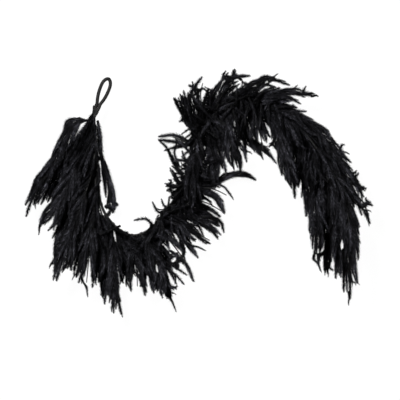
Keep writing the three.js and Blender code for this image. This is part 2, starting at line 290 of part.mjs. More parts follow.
// ---------------------------------------------------------------- sprays
// Each spray is a flat plume: a narrow stem at the core, full width by a third of its length, and a
// narrowed blunt tip.  Its section is an eight-sided oval with a level underside.
const swell = (t) => {
  const u = THREE.MathUtils.clamp((t - 0.03) / 0.27, 0, 1);
  return u * u * (3 - 2 * u);
};
const taper = (t) => 1 - 0.72 * THREE.MathUtils.clamp((t - 0.72) / 0.28, 0, 1) ** 2;
const span = (t, full) => (STEM_WIDTH + (full - STEM_WIDTH) * swell(t)) * taper(t);
const LEVEL = Math.sin((3 * Math.PI) / 8); // height of an oval's level underside below its centre, per half depth
function plume({ width, depth, path, pinch, rests }) {
  const pts = path.map(([x, y, z]) => new THREE.Vector3(x, y, z));
  const n = pts.length - 1;
  const rings = pts.map((p, i) => {
    const heading = pts[Math.min(i + 1, n)].clone().sub(pts[Math.max(i - 1, 0)]).setZ(0).normalize();
    const side = new THREE.Vector3().crossVectors(up, heading);
    const t = i / n;
    const k = pinch ? pinch[i] : 1;
    const a = (span(t, width) / 2) * k;
    const b = Math.max(span(t, depth) / 2, 2.4) * k;
    if (rests && i >= 5) p.z = b * LEVEL;
    const ring = [];
    for (let j = 0; j < 8; j++) {
      const q = Math.PI / 8 + (j * Math.PI) / 4;
      ring.push(p.clone().addScaledVector(side, a * Math.cos(q)).addScaledVector(up, b * Math.sin(q)));
    }
    return ring;
  });
  return loft(rings, pts[0], pts[n]);
}
SPRAYS.forEach((spray, i) => {
  add(`spray_${String(i + 1).padStart(2, "0")}`, plume(spray), foliageMaterial());
});

export default group;
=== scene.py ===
"""Looks of the needle garland: covered-wire hanging loops, tape-wrapped core, and needle sprays.

Metres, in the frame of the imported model.  Every spray is grown along the centreline of its plume in the
CAD: a taped stem, a rachis, and finger-like branchlets set all round with short needles.
"""

import math

import bpy
import numpy as np
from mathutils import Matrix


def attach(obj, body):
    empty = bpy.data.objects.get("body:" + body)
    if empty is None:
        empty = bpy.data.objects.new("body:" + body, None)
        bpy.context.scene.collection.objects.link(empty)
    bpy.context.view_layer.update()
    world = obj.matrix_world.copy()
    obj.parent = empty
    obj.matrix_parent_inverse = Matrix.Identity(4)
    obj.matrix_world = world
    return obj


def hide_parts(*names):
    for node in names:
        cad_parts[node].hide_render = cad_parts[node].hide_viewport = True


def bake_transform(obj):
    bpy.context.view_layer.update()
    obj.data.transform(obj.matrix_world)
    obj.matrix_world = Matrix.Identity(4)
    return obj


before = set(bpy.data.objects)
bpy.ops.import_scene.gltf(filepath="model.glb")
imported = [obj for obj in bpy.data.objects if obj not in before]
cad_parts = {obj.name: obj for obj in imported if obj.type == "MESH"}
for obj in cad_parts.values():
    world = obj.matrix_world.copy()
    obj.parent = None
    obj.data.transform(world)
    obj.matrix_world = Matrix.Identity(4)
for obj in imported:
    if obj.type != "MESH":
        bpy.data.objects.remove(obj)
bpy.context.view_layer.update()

# ------------------------------------------------------------------ the route of the core and the sprays, millimetres
CORE_Z = 50.0
CORE_PLAN = [
    (-276.8, 240.7), (-282.7, 225.6), (-285.7, 211.0), (-283.5, 188.6), (-280.7, 157.8), (-277.9, 107.4),
    (-275.1, 43.0), (-269.5, -13.0), (-252.7, -57.8), (-219.1, -97.0), (-177.1, -116.6), (-132.3, -102.6),
    (-95.9, -66.2), (-62.3, -21.4), (-31.5, 23.4), (-9.1, 71.0), (2.1, 121.4), (16.1, 171.8),
    (41.3, 213.8), (83.3, 241.8), (136.5, 253.0), (198.1, 247.4), (254.1, 227.8), (304.5, 188.6),
    (343.7, 129.8), (368.9, 65.4), (382.9, -7.4),
]
SECTIONS = 9
CORE_R = 4.0
# section, width, depth, centreline from the core to the tip
SPRAYS = [
    (1, 46, 23.9, [(-293.1, 208.8, 50.7), (-320.6, 201.5, 51.9), (-345.4, 184.3, 53.0), (-365.7, 157.8, 53.8), (-383.4, 126.8, 54.4),
        (-400.4, 94.7, 54.7), (-417.7, 62.9, 54.9), (-434.9, 31.3, 55.0), (-451.5, -0.4, 55.0), (-467.4, -32.4, 55.0)]),  # 1
    (1, 52, 26.0, [(-289.9, 188.5, 46.3), (-305.6, 168.5, 42.7), (-322.4, 147.6, 39.3), (-338.9, 125.4, 36.5), (-354.0, 101.6, 34.3),
        (-367.6, 76.9, 32.5), (-380.4, 51.7, 31.2), (-392.9, 26.4, 30.1), (-405.4, 1.0, 29.2), (-417.9, -24.2, 28.2)]),  # 2
    (1, 32, 16.6, [(-276.2, 183.3, 47.0), (-274.4, 157.5, 42.8), (-271.8, 131.9, 39.3), (-267.7, 106.6, 36.7), (-261.7, 81.7, 34.9),
        (-254.7, 56.9, 33.8), (-248.2, 32.1, 33.1), (-244.1, 7.0, 32.6), (-243.6, -18.3, 32.3), (-245.3, -43.7, 32.0)]),  # 3
    (1, 50, 26.0, [(-287.7, 165.6, 53.7), (-298.9, 135.5, 60.3), (-312.8, 105.5, 66.2), (-328.6, 75.5, 70.8), (-344.8, 45.2, 73.5),
        (-361.2, 14.9, 74.9), (-377.7, -15.2, 75.5), (-394.8, -45.0, 75.5), (-412.8, -74.1, 75.2), (-431.4, -102.9, 74.9)]),  # 4
    (1, 50, 26.0, [(-286.6, 139.2, 47.8), (-293.1, 103.0, 49.0), (-303.3, 67.6, 49.6), (-316.0, 33.2, 49.1), (-330.0, -0.9, 48.0),
        (-344.3, -35.1, 46.4), (-358.1, -69.5, 44.7), (-371.0, -104.4, 42.9), (-382.5, -139.7, 41.1), (-393.3, -175.2, 39.3)]),  # 5
    (1, 50, 26.0, [(-282.5, 109.6, 55.9), (-288.8, 70.6, 70.6), (-297.7, 31.9, 83.9), (-309.3, -6.5, 94.5), (-322.3, -44.9, 101.3),
        (-335.8, -83.3, 104.2), (-349.8, -121.5, 104.5), (-363.6, -159.6, 103.2), (-376.3, -198.0, 101.1), (-387.9, -236.7, 98.8)]),  # 6
    (2, 52, 26.0, [(-282.0, 76.4, 44.8), (-284.4, 42.1, 36.6), (-289.8, 7.9, 29.3), (-297.5, -26.2, 23.0), (-306.1, -60.3, 18.0),
        (-315.0, -94.3, 12.0), (-323.7, -128.4, 12.0), (-331.9, -162.5, 11.6), (-339.2, -196.8, 8.9), (-345.7, -231.3, 3.4)]),  # 7
    (2, 46, 23.9, [(-280.4, 43.1, 55.2), (-280.1, 9.5, 66.8), (-282.4, -24.0, 77.3), (-286.3, -58.1, 85.0), (-289.7, -93.0, 88.8),
        (-292.8, -127.7, 90.4), (-295.7, -162.2, 90.6), (-298.7, -196.6, 89.8), (-302.1, -230.8, 88.7), (-305.7, -265.0, 87.3)]),  # 8
    (2, 46, 23.9, [(-280.1, 9.7, 51.5), (-277.0, -20.7, 56.3), (-275.5, -50.7, 59.2), (-275.3, -78.8, 60.5), (-274.7, -105.7, 59.8),
        (-273.0, -133.1, 58.9), (-272.1, -161.0, 58.0), (-273.2, -189.1, 57.1), (-276.1, -217.3, 56.1), (-280.0, -245.4, 55.2)]),  # 9
    (2, 44, 22.9, [(-271.9, -30.7, 47.0), (-263.1, -58.1, 42.8), (-257.3, -86.8, 39.4), (-254.0, -116.4, 37.4), (-251.3, -146.2, 35.8),
        (-249.7, -176.1, 34.7), (-249.3, -206.1, 34.0), (-250.2, -236.1, 33.6), (-252.3, -266.0, 33.2), (-255.0, -295.8, 32.9)]),  # 10
    (3, 40, 20.8, [(-258.2, -62.7, 51.5), (-243.1, -89.8, 59.6), (-233.7, -118.9, 66.4), (-229.8, -149.7, 69.9), (-227.8, -181.2, 71.1),
        (-225.9, -212.8, 70.8), (-223.4, -244.4, 69.6), (-219.6, -275.7, 67.8), (-214.4, -306.9, 65.7), (-208.5, -337.9, 63.6)]),  # 11
    (3, 46, 23.9, [(-235.7, -88.9, 44.8), (-223.8, -105.5, 34.3), (-215.2, -123.5, 25.5), (-209.4, -142.6, 19.3), (-204.9, -162.2, 15.1),
        (-201.0, -182.0, 11.1), (-198.0, -201.9, 11.1), (-196.3, -221.9, 10.7), (-196.0, -242.0, 8.2), (-196.2, -262.2, 3.1)]),  # 12
    (3, 44, 22.9, [(-212.5, -109.6, 53.7), (-200.1, -123.5, 57.0), (-189.7, -139.0, 60.0), (-181.4, -155.9, 62.7), (-174.8, -173.7, 64.8),
        (-169.6, -192.1, 66.6), (-166.0, -210.8, 68.0), (-164.1, -229.7, 69.2), (-163.2, -248.7, 70.3), (-162.8, -267.8, 71.4)]),  # 13
    (3, 44, 22.9, [(-179.1, -123.5, 47.8), (-168.8, -134.1, 45.7), (-158.8, -147.3, 43.9), (-150.1, -162.9, 42.3), (-142.8, -180.0, 41.0),
        (-136.9, -197.6, 40.0), (-132.2, -215.7, 39.2), (-128.7, -233.9, 38.5), (-126.1, -252.2, 37.8), (-123.7, -270.6, 37.2)]),  # 14
    (3, 46, 23.9, [(-150.9, -116.6, 55.9), (-140.4, -129.8, 60.9), (-130.1, -145.2, 65.5), (-120.6, -162.4, 69.5), (-112.3, -180.8, 72.9),
        (-105.4, -199.8, 75.7), (-100.0, -219.3, 78.1), (-96.1, -239.1, 80.1), (-92.9, -259.0, 82.0), (-90.1, -279.0, 83.8)]),  # 15
    (4, 42, 21.8, [(-125.4, -105.1, 45.6), (-116.6, -122.4, 37.5), (-107.2, -141.7, 29.8), (-98.3, -162.9, 22.9), (-90.6, -185.2, 17.1),
        (-84.5, -208.1, 10.1), (-79.9, -231.3, 10.1), (-76.1, -254.7, 9.8), (-72.6, -278.0, 7.4), (-69.3, -301.4, 2.8)]),  # 16
    (4, 36, 18.7, [(-106.8, -89.2, 53.0), (-96.1, -102.5, 55.4), (-83.9, -117.2, 57.7), (-70.9, -133.2, 59.7), (-57.9, -150.0, 61.4),
        (-45.0, -167.1, 62.9), (-32.8, -184.4, 64.0), (-22.6, -202.7, 65.1), (-14.7, -222.1, 66.0), (-8.1, -242.1, 66.9)]),  # 17
    (4, 44, 22.9, [(-91.5, -71.5, 47.0), (-82.6, -79.4, 44.6), (-72.5, -89.3, 42.3), (-61.9, -100.9, 40.3), (-51.4, -113.5, 38.6),
        (-41.2, -126.4, 37.1), (-30.9, -139.2, 36.0), (-20.2, -151.5, 34.9), (-9.1, -163.6, 34.0), (2.0, -175.5, 33.1)]),  # 18
    (4, 26, 13.5, [(-86.1, -41.8, 50.0), (-90.2, -44.0, 53.0), (-95.4, -44.5, 55.3), (-101.1, -43.9, 56.3), (-107.0, -42.1, 56.5),
        (-112.7, -39.3, 56.0), (-117.6, -35.3, 55.2), (-121.4, -30.4, 54.2), (-124.4, -24.7, 53.1), (-127.0, -18.8, 52.0)]),  # 19
    (4, 44, 22.9, [(-73.9, -46.7, 55.2), (-64.8, -56.8, 59.5), (-53.7, -67.6, 63.5), (-41.1, -78.7, 67.0), (-27.6, -89.5, 70.0),
        (-13.5, -99.6, 72.5), (1.1, -109.0, 74.6), (16.1, -117.6, 76.4), (31.4, -125.7, 78.0), (46.8, -133.6, 79.6)]),  # 20
    (4, 46, 23.9, [(-56.8, -26.2, 48.5), (-45.9, -31.4, 47.3), (-33.1, -38.2, 46.1), (-19.1, -46.0, 45.1), (-4.5, -54.3, 44.3),
        (10.2, -62.6, 43.6), (25.0, -70.7, 43.0), (39.7, -78.6, 42.5), (54.5, -86.5, 42.0), (69.3, -94.2, 41.5)]),  # 21
    (4, 46, 23.9, [(-41.6, -0.3, 44.1), (-30.0, -4.5, 36.2), (-17.1, -9.0, 28.9), (-3.2, -13.6, 22.4), (11.1, -18.2, 17.2),
        (25.3, -23.2, 11.1), (39.1, -29.2, 11.1), (52.3, -36.3, 10.7), (65.1, -44.0, 8.2), (77.8, -52.0, 3.1)]),  # 22
    (5, 30, 15.6, [(-39.7, 22.2, 53.7), (-42.9, 18.8, 56.8), (-47.7, 17.7, 59.7), (-53.3, 19.0, 62.2), (-58.8, 22.3, 64.3),
        (-63.4, 27.1, 66.1), (-66.9, 32.7, 67.6), (-69.5, 38.8, 68.8), (-71.6, 45.1, 70.0), (-73.6, 51.4, 71.2)]),  # 23
    (5, 40, 20.8, [(-25.0, 21.2, 53.0), (-15.0, 20.3, 57.9), (-2.9, 19.0, 62.5), (10.8, 17.8, 66.4), (24.9, 16.9, 69.5),
        (39.3, 15.3, 71.2), (53.2, 11.9, 72.1), (66.5, 6.4, 72.4), (79.2, -0.2, 72.3), (91.8, -7.1, 72.2)]),  # 24
    (5, 26, 13.5, [(-15.4, 39.0, 47.0), (1.1, 33.3, 40.8), (19.6, 29.8, 35.4), (39.5, 31.3, 31.6), (59.5, 38.0, 29.4),
        (78.8, 46.4, 28.5), (98.8, 51.5, 28.3), (119.5, 51.4, 28.6), (140.5, 48.2, 29.1), (161.6, 43.9, 29.7)]),  # 25
    (5, 30, 15.6, [(-12.9, 80.6, 46.3), (-17.2, 76.1, 43.2), (-23.8, 72.9, 40.3), (-32.0, 71.9, 37.8), (-40.4, 73.8, 35.7),
        (-48.1, 78.4, 33.9), (-54.7, 84.8, 32.4), (-60.4, 92.1, 31.2), (-65.7, 99.7, 30.0), (-70.8, 107.4, 28.8)]),  # 26
    (5, 22, 11.4, [(-2.8, 132.6, 50.0), (-10.9, 137.0, 50.0), (-21.5, 142.2, 50.0), (-34.0, 147.9, 50.0), (-47.4, 153.5, 50.0),
        (-61.1, 158.3, 50.0), (-75.2, 161.7, 50.0), (-89.4, 163.3, 50.0), (-103.8, 163.7, 50.0), (-118.3, 163.8, 50.0)]),  # 27
    (6, 48, 25.0, [(7.2, 164.9, 54.4), (2.7, 174.5, 58.2), (-3.6, 184.6, 61.6), (-11.1, 195.3, 64.6), (-18.8, 206.4, 67.2),
        (-25.9, 218.0, 69.3), (-32.4, 229.9, 71.1), (-38.1, 242.0, 72.6), (-43.4, 254.4, 74.0), (-48.5, 266.9, 75.4)]),  # 28
    (6, 54, 26.0, [(19.3, 171.0, 56.7), (10.9, 149.3, 63.2), (4.2, 127.2, 69.2), (-0.8, 104.7, 74.7), (-4.8, 82.1, 79.4),
        (-8.4, 59.3, 83.4), (-11.4, 36.4, 86.8), (-13.8, 13.5, 89.4), (-15.8, -9.6, 91.7), (-17.6, -32.6, 93.9)]),  # 29
    (6, 50, 26.0, [(26.0, 205.5, 47.0), (25.9, 216.1, 44.2), (23.8, 227.7, 41.6), (20.4, 240.0, 39.4), (17.0, 252.8, 37.7),
        (14.6, 265.7, 36.3), (13.9, 278.8, 35.3), (15.2, 291.8, 34.4), (17.9, 304.7, 33.6), (21.2, 317.5, 32.8)]),  # 30
    (6, 54, 26.0, [(49.5, 211.5, 50.0), (49.3, 191.1, 50.3), (49.3, 169.0, 50.6), (48.7, 145.6, 50.9), (47.4, 121.9, 51.1),
        (45.5, 98.2, 51.2), (43.3, 74.7, 51.1), (40.8, 51.5, 50.7), (37.7, 28.2, 50.1), (33.7, 4.3, 49.4)]),  # 31
    (6, 38, 19.8, [(67.9, 242.5, 51.5), (69.7, 253.1, 52.7), (71.4, 265.7, 53.9), (74.8, 279.3, 54.9), (80.4, 292.6, 55.7),
        (88.5, 304.5, 56.4), (99.1, 314.1, 57.0), (111.7, 321.3, 57.5), (125.2, 326.8, 58.0), (139.1, 331.8, 58.5)]),  # 32
    (6, 50, 26.0, [(91.5, 238.6, 54.4), (89.4, 221.6, 58.2), (88.8, 203.6, 61.6), (90.1, 184.9, 64.6), (92.9, 166.1, 67.2),
        (96.7, 147.3, 69.3), (101.1, 128.7, 71.1), (106.0, 110.3, 72.6), (111.4, 92.0, 74.0), (116.8, 73.8, 75.4)]),  # 33
    (7, 34, 17.7, [(114.0, 257.9, 51.5), (122.3, 269.8, 52.7), (132.2, 283.1, 53.9), (144.8, 295.5, 54.9), (160.3, 305.0, 55.7),
        (177.7, 311.1, 56.4), (196.0, 313.8, 57.0), (214.6, 313.3, 57.5), (233.0, 310.6, 58.0), (251.4, 306.9, 58.5)]),  # 34
    (7, 36, 18.7, [(125.6, 246.8, 44.8), (125.9, 227.1, 36.4), (127.3, 206.5, 28.4), (131.2, 185.7, 21.4), (138.7, 166.4, 15.5),
        (151.2, 150.3, 8.6), (167.7, 137.3, 8.6), (185.0, 124.6, 8.4), (201.8, 111.0, 6.4), (218.1, 96.7, 2.4)]),  # 35
    (7, 42, 21.8, [(155.1, 258.3, 55.2), (172.6, 263.2, 59.5), (191.1, 268.9, 63.5), (210.6, 273.8, 67.0), (230.6, 277.2, 70.0),
        (251.0, 278.9, 72.5), (271.5, 278.9, 74.6), (291.9, 277.7, 76.4), (312.3, 275.6, 78.0), (332.5, 273.0, 79.6)]),  # 36
    (7, 46, 23.9, [(157.8, 245.5, 49.3), (161.6, 233.5, 48.6), (165.3, 220.0, 48.1), (169.4, 205.6, 47.6), (173.9, 190.9, 47.1),
        (178.3, 176.1, 46.8), (182.0, 161.2, 46.5), (185.0, 146.1, 46.2), (187.5, 131.0, 46.0), (189.8, 115.8, 45.8)]),  # 37
    (7, 48, 25.0, [(180.4, 244.6, 54.4), (228.0, 237.9, 64.4), (273.1, 223.0, 73.2), (314.7, 199.3, 80.0), (350.5, 166.1, 84.2),
        (378.6, 125.0, 87.8), (401.8, 80.9, 90.1), (423.8, 37.1, 90.8), (445.5, -6.3, 90.6), (467.1, -49.5, 90.0)]),  # 38
    (7, 50, 26.0, [(212.1, 237.5, 53.7), (220.6, 216.6, 58.5), (227.7, 194.3, 62.6), (233.5, 171.0, 65.6), (238.7, 147.1, 67.8),
        (244.1, 123.2, 69.3), (250.2, 99.4, 70.4), (256.8, 75.9, 71.1), (263.7, 52.4, 71.7), (270.8, 29.0, 72.2)]),  # 39
    (7, 50, 26.0, [(218.1, 234.9, 51.8), (253.5, 206.0, 56.8), (287.5, 175.0, 61.7), (325.3, 148.1, 65.0), (366.5, 120.3, 64.9),
        (391.6, 79.6, 63.3), (408.5, 34.6, 62.0), (423.3, -10.7, 60.8), (438.0, -55.5, 59.9), (452.8, -100.0, 59.1)]),  # 40
    (7, 48, 25.0, [(233.2, 229.8, 47.8), (248.8, 202.5, 42.7), (263.4, 172.7, 38.0), (276.3, 141.1, 33.9), (287.3, 108.2, 30.7),
        (295.9, 74.6, 29.1), (302.0, 40.4, 28.6), (306.3, 5.8, 28.8), (309.8, -28.8, 29.3), (313.1, -63.4, 30.0)]),  # 41
    (8, 50, 26.0, [(247.9, 223.8, 46.3), (286.2, 190.9, 34.7), (320.7, 154.3, 24.5), (351.4, 114.1, 16.9), (380.0, 71.4, 12.9),
        (405.8, 26.0, 12.4), (423.4, -23.0, 12.0), (433.6, -73.8, 11.6), (440.5, -124.8, 11.1), (447.3, -175.6, 11.4)]),  # 42
    (8, 50, 26.0, [(279.5, 207.2, 56.7), (309.8, 162.4, 83.5), (340.8, 118.5, 103.3), (369.9, 73.5, 114.1), (393.4, 25.6, 118.5),
        (411.2, -24.8, 118.5), (424.3, -76.8, 115.7), (433.7, -129.8, 111.3), (440.3, -183.3, 106.2), (445.6, -236.9, 100.8)]),  # 43
    (8, 48, 25.0, [(289.4, 193.8, 52.2), (304.4, 153.8, 47.5), (317.4, 114.4, 47.9), (327.5, 76.3, 51.3), (333.6, 36.8, 54.2),
        (336.8, -4.0, 56.8), (338.2, -45.3, 59.0), (338.6, -86.8, 61.1), (338.5, -128.3, 63.0), (338.2, -169.8, 64.9)]),  # 44
    (8, 46, 23.9, [(308.5, 172.5, 48.5), (343.4, 131.0, 40.4), (374.4, 86.5, 35.7), (393.6, 36.8, 33.9), (405.9, -14.8, 33.0),
        (412.9, -67.5, 32.7), (417.9, -120.2, 33.2), (421.4, -173.0, 33.9), (423.7, -225.9, 34.6), (425.4, -278.9, 35.3)]),  # 45
    (9, 46, 23.9, [(338.0, 126.0, 53.0), (349.8, 86.1, 66.7), (364.9, 50.4, 76.9), (378.3, 14.2, 82.5), (387.6, -23.7, 84.7),
        (393.2, -62.9, 84.4), (396.1, -102.8, 82.6), (397.4, -142.9, 79.9), (397.5, -183.0, 77.0), (397.2, -223.0, 73.9)]),  # 46
    (9, 46, 23.9, [(360.2, 78.8, 44.1), (361.5, 44.8, 29.1), (365.0, 11.7, 17.9), (368.5, -20.6, 11.6), (370.5, -52.8, 11.1),
        (370.1, -85.4, 11.1), (368.2, -118.3, 11.1), (366.1, -151.3, 10.7), (364.4, -184.3, 8.2), (363.1, -217.4, 3.1)]),  # 47
]

rng = np.random.default_rng(20)


# ------------------------------------------------------------------ small curve tools
def catmull(points, per=24, closed=False):
    """Points close together on the Catmull-Rom curve through points."""
    p = np.asarray(points, float)
    if closed:
        q = np.vstack([p[-1], p, p[0], p[1]])
    else:
        q = np.vstack([2 * p[0] - p[1], p, 2 * p[-1] - p[-2]])
    out = []
    t = np.linspace(0, 1, per, endpoint=False)[:, None]
    for i in range(1, len(q) - 2):
        a, b, c, d = q[i - 1 : i + 3]
        out.append(0.5 * (2 * b + (c - a) * t + (2 * a - 5 * b + 4 * c - d) * t**2 + (3 * b - a - 3 * c + d) * t**3))
    out.append(q[-2][None])
    return np.vstack(out)


def arc(points):
    return np.r_[0, np.cumsum(np.linalg.norm(np.diff(points, axis=0), axis=1))]


def resample(points, n):
    d = arc(points)
    u = np.linspace(0, d[-1], n)
    return np.stack([np.interp(u, d, points[:, k]) for k in range(points.shape[1])], -1)


def unit(v):
    return v / np.maximum(np.linalg.norm(v, axis=-1, keepdims=True), 1e-12)


def frames(points, closed=False):
    """Tangent and two normals at each point, turned as little as possible along the way."""
    if closed:
        t = unit(np.roll(points, -1, 0) - np.roll(points, 1, 0))
    else:
        t = unit(np.gradient(points, axis=0))
    n = np.zeros_like(points)
    ref = np.array([0, 0, 1.0]) if abs(t[0][2]) < 0.9 else np.array([1.0, 0, 0])
    n[0] = unit(ref - t[0] * (ref @ t[0]))
    for i in range(1, len(points)):
        v = n[i - 1] - t[i] * (n[i - 1] @ t[i])
        n[i] = unit(v)
    return t, n, np.cross(t, n)


# ------------------------------------------------------------------ mesh gathering
class Skin:
    """Gathers closed shells into one mesh."""

    def __init__(self):
        self.v, self.f3, self.f4, self.count = [], [], [], 0
        self.m3, self.m4 = [], []
        # per-vertex tone for the colour, which carries random tone and painted light and shade; shade is the painted
        # light or shade level of what is being added
        self.tone, self.shade = [], 1.0

    def add(self, verts, tris=None, quads=None, mat=0, tone=None):
        verts = np.asarray(verts, float)
        if tris is not None and len(tris):
            self.f3.append(np.asarray(tris) + self.count)
            self.m3.append(np.full(len(tris), mat))
        if quads is not None and len(quads):
            self.f4.append(np.asarray(quads) + self.count)
            self.m4.append(np.full(len(quads), mat))
        self.v.append(verts)
        self.tone.append(np.full(len(verts), self.shade) if tone is None else tone)
        self.count += len(verts)

    def tube(self, points, radius, sides=6, mat=0, closed=False, twist=None):
        """A closed tube; radius is a number, one per point, or one per point and side."""
        points = np.asarray(points, float)
        n = len(points)
        t, a, b = frames(points, closed)
        ang = np.arange(sides) * 2 * np.pi / sides
        r = np.asarray(radius, float)
        if r.ndim == 0:
            r = np.full((n, sides), float(r))
        elif r.ndim == 1:
            r = np.repeat(r[:, None], sides, 1)
        ring = points[:, None] + r[..., None] * (np.cos(ang)[None, :, None] * a[:, None] + np.sin(ang)[None, :, None] * b[:, None])
        v = ring.reshape(-1, 3)
        i = np.arange(n if closed else n - 1)
        k = np.arange(sides)
        ii, kk = np.meshgrid(i, k, indexing="ij")
        j = (ii + 1) % n
        l = (kk + 1) % sides
        quads = np.stack([ii * sides + kk, ii * sides + l, j * sides + l, j * sides + kk], -1).reshape(-1, 4)
        if closed:
            self.add(v, quads=quads, mat=mat)
            return
        v = np.vstack([v, points[0] - t[0] * r[0].mean() * 0.5, points[-1] + t[-1] * r[-1].mean() * 0.9])
        s, e = n * sides, n * sides + 1
        tris = np.vstack(
            [
                np.stack([np.full(sides, s), (k + 1) % sides, k], -1),
                np.stack([np.full(sides, e), (n - 1) * sides + k, (n - 1) * sides + (k + 1) % sides], -1),
            ]
        )
        self.add(v, tris=tris, quads=quads, mat=mat)

    def needles(self, base, axis, out, length, width, alpha, painted_light_randomised, mat=0):
        """Closed three-sided needles: base points, finger direction, outward direction, all (n, 3)."""
        n = len(base)
        if not n:
            return
        alpha = alpha[:, None]
        d = unit(axis * np.cos(alpha) + out * np.sin(alpha))
        side = unit(np.cross(axis, out))
        top = np.cross(side, d)
        w = width[:, None]
        tip = base + d * length[:, None]
        # a little curl back towards the finger
        tip = tip + axis * (length * 0.10)[:, None]
        tip[:, 2] = np.maximum(tip[:, 2], 0.4)
        b0 = base + top * w * 0.20
        b1 = base + side * w * 0.5
        b2 = base - side * w * 0.5
        v = np.stack([b0, b1, b2, tip], 1).reshape(-1, 3)
        o = np.arange(n)[:, None] * 4
        tris = np.concatenate([o + np.array([[0, 2, 1]]), o + np.array([[0, 1, 3]]), o + np.array([[1, 2, 3]]), o + np.array([[2, 0, 3]])], 0)
        # painted shade at each needle's base and painted light at its tip, times the painted light given by needle and
        # the branchlet's painted level
        self.add(v, tris=tris, mat=mat, tone=np.tile([0.4, 0.4, 0.4, 1.6], n) * np.repeat(painted_light_randomised, 4) * self.shade)

    def build(self, name, materials, smooth=True):
        v = np.vstack(self.v) * 0.001
        f3 = np.vstack(self.f3) if self.f3 else np.zeros((0, 3), int)
        f4 = np.vstack(self.f4) if self.f4 else np.zeros((0, 4), int)
        mats = np.concatenate([*(self.m3 or [np.zeros(0, int)]), *(self.m4 or [np.zeros(0, int)])])
        loops = np.concatenate([f3.ravel(), f4.ravel()]).astype(np.int32)
        total = np.concatenate([np.full(len(f3), 3), np.full(len(f4), 4)]).astype(np.int32)
        start = np.concatenate([[0], np.cumsum(total)[:-1]]).astype(np.int32)
        me = bpy.data.meshes.new(name)
        me.vertices.add(len(v))
        me.vertices.foreach_set("co", v.astype(np.float32).ravel())
        me.loops.add(len(loops))
        me.loops.foreach_set("vertex_index", loops)
        me.polygons.add(len(total))
        me.polygons.foreach_set("loop_start", start)
        me.polygons.foreach_set("loop_total", total)
        me.polygons.foreach_set("material_index", mats.astype(np.int32))
        me.polygons.foreach_set("use_smooth", np.full(len(total), smooth))
        # a slanted plan view of the piece as its map, so that no face is seen edge on
        lo, hi = v.min(0), v.max(0)
        size = max((hi - lo).max(), 1e-4)
        p = v - lo
        uv = np.stack([p[:, 0] * 0.80 + p[:, 2] * 0.29, p[:, 1] * 0.80 + p[:, 2] * 0.17], -1) / size * 0.9 + 0.03
        layer = me.uv_layers.new(name="OFBake")
        layer.data.foreach_set("uv", uv[loops].astype(np.float32).ravel())
        # the per-vertex tone goes on the mesh: random tone with painted light and shade
        me.attributes.new("tone", "FLOAT", "POINT").data.foreach_set("value", np.concatenate(self.tone).astype(np.float32))
        for m in materials:
            me.materials.append(m)
        me.update(calc_edges=True)
        me.validate()
        o = bpy.data.objects.new(name, me)
        bpy.context.scene.collection.objects.link(o)
        return o


# ------------------------------------------------------------------ materials
def make_material(name, low, high, scale, rough, bump, bump_scale, specular=0.3, stretch=(1, 1, 1)):
    """Matte black with uneven colour, roughness and a fine bump from noise in object space; the colour is scaled by the
    mesh's per-vertex tone, which carries random tone and painted light and shade.
    """
    m = bpy.data.materials.new(name)
    m.use_nodes = True
    nt = m.node_tree
    nt.nodes.clear()
    out = nt.nodes.new("ShaderNodeOutputMaterial")
    bsdf = nt.nodes.new("ShaderNodeBsdfPrincipled")
    coord = nt.nodes.new("ShaderNodeTexCoord")
    place = nt.nodes.new("ShaderNodeMapping")
    place.inputs["Scale"].default_value = stretch
    nt.links.new(coord.outputs["Object"], place.inputs["Vector"])
    patch = nt.nodes.new("ShaderNodeTexNoise")
    patch.inputs["Scale"].default_value = scale
    patch.inputs["Detail"].default_value = 4
    patch.inputs["Roughness"].default_value = 0.6
    nt.links.new(place.outputs["Vector"], patch.inputs["Vector"])
    ramp = nt.nodes.new("ShaderNodeValToRGB")
    ramp.color_ramp.elements[0].position = 0.32
    ramp.color_ramp.elements[0].color = (*low, 1)
    ramp.color_ramp.elements[1].position = 0.70
    ramp.color_ramp.elements[1].color = (*high, 1)
    mid = ramp.color_ramp.elements.new(0.5)
    mid.color = (*[(a * 0.6 + b * 0.4) for a, b in zip(low, high)], 1)
    nt.links.new(patch.outputs["Fac"], ramp.inputs["Fac"])
    # the colour is scaled by the mesh's per-vertex tone: random tone with painted light and shade
    tone = nt.nodes.new("ShaderNodeAttribute")
    tone.attribute_name = "tone"
    shade = nt.nodes.new("ShaderNodeVectorMath")
    shade.operation = "SCALE"
    nt.links.new(ramp.outputs["Color"], shade.inputs[0])
    nt.links.new(tone.outputs["Fac"], shade.inputs["Scale"])
    nt.links.new(shade.outputs["Vector"], bsdf.inputs["Base Color"])
    grain = nt.nodes.new("ShaderNodeTexNoise")
    grain.inputs["Scale"].default_value = bump_scale
    grain.inputs["Detail"].default_value = 3
    nt.links.new(place.outputs["Vector"], grain.inputs["Vector"])
    spread = nt.nodes.new("ShaderNodeMapRange")
    spread.inputs["To Min"].default_value = rough[0]
    spread.inputs["To Max"].default_value = rough[1]
    nt.links.new(grain.outputs["Fac"], spread.inputs["Value"])
    nt.links.new(spread.outputs["Result"], bsdf.inputs["Roughness"])
    lift = nt.nodes.new("ShaderNodeBump")
    lift.inputs["Strength"].default_value = bump
    lift.inputs["Distance"].default_value = 0.0004
    nt.links.new(grain.outputs["Fac"], lift.inputs["Height"])
    nt.links.new(lift.outputs["Normal"], bsdf.inputs["Normal"])
    bsdf.inputs["Specular IOR Level"].default_value = specular
    nt.links.new(bsdf.outputs["BSDF"], out.inputs["Surface"])
    return m


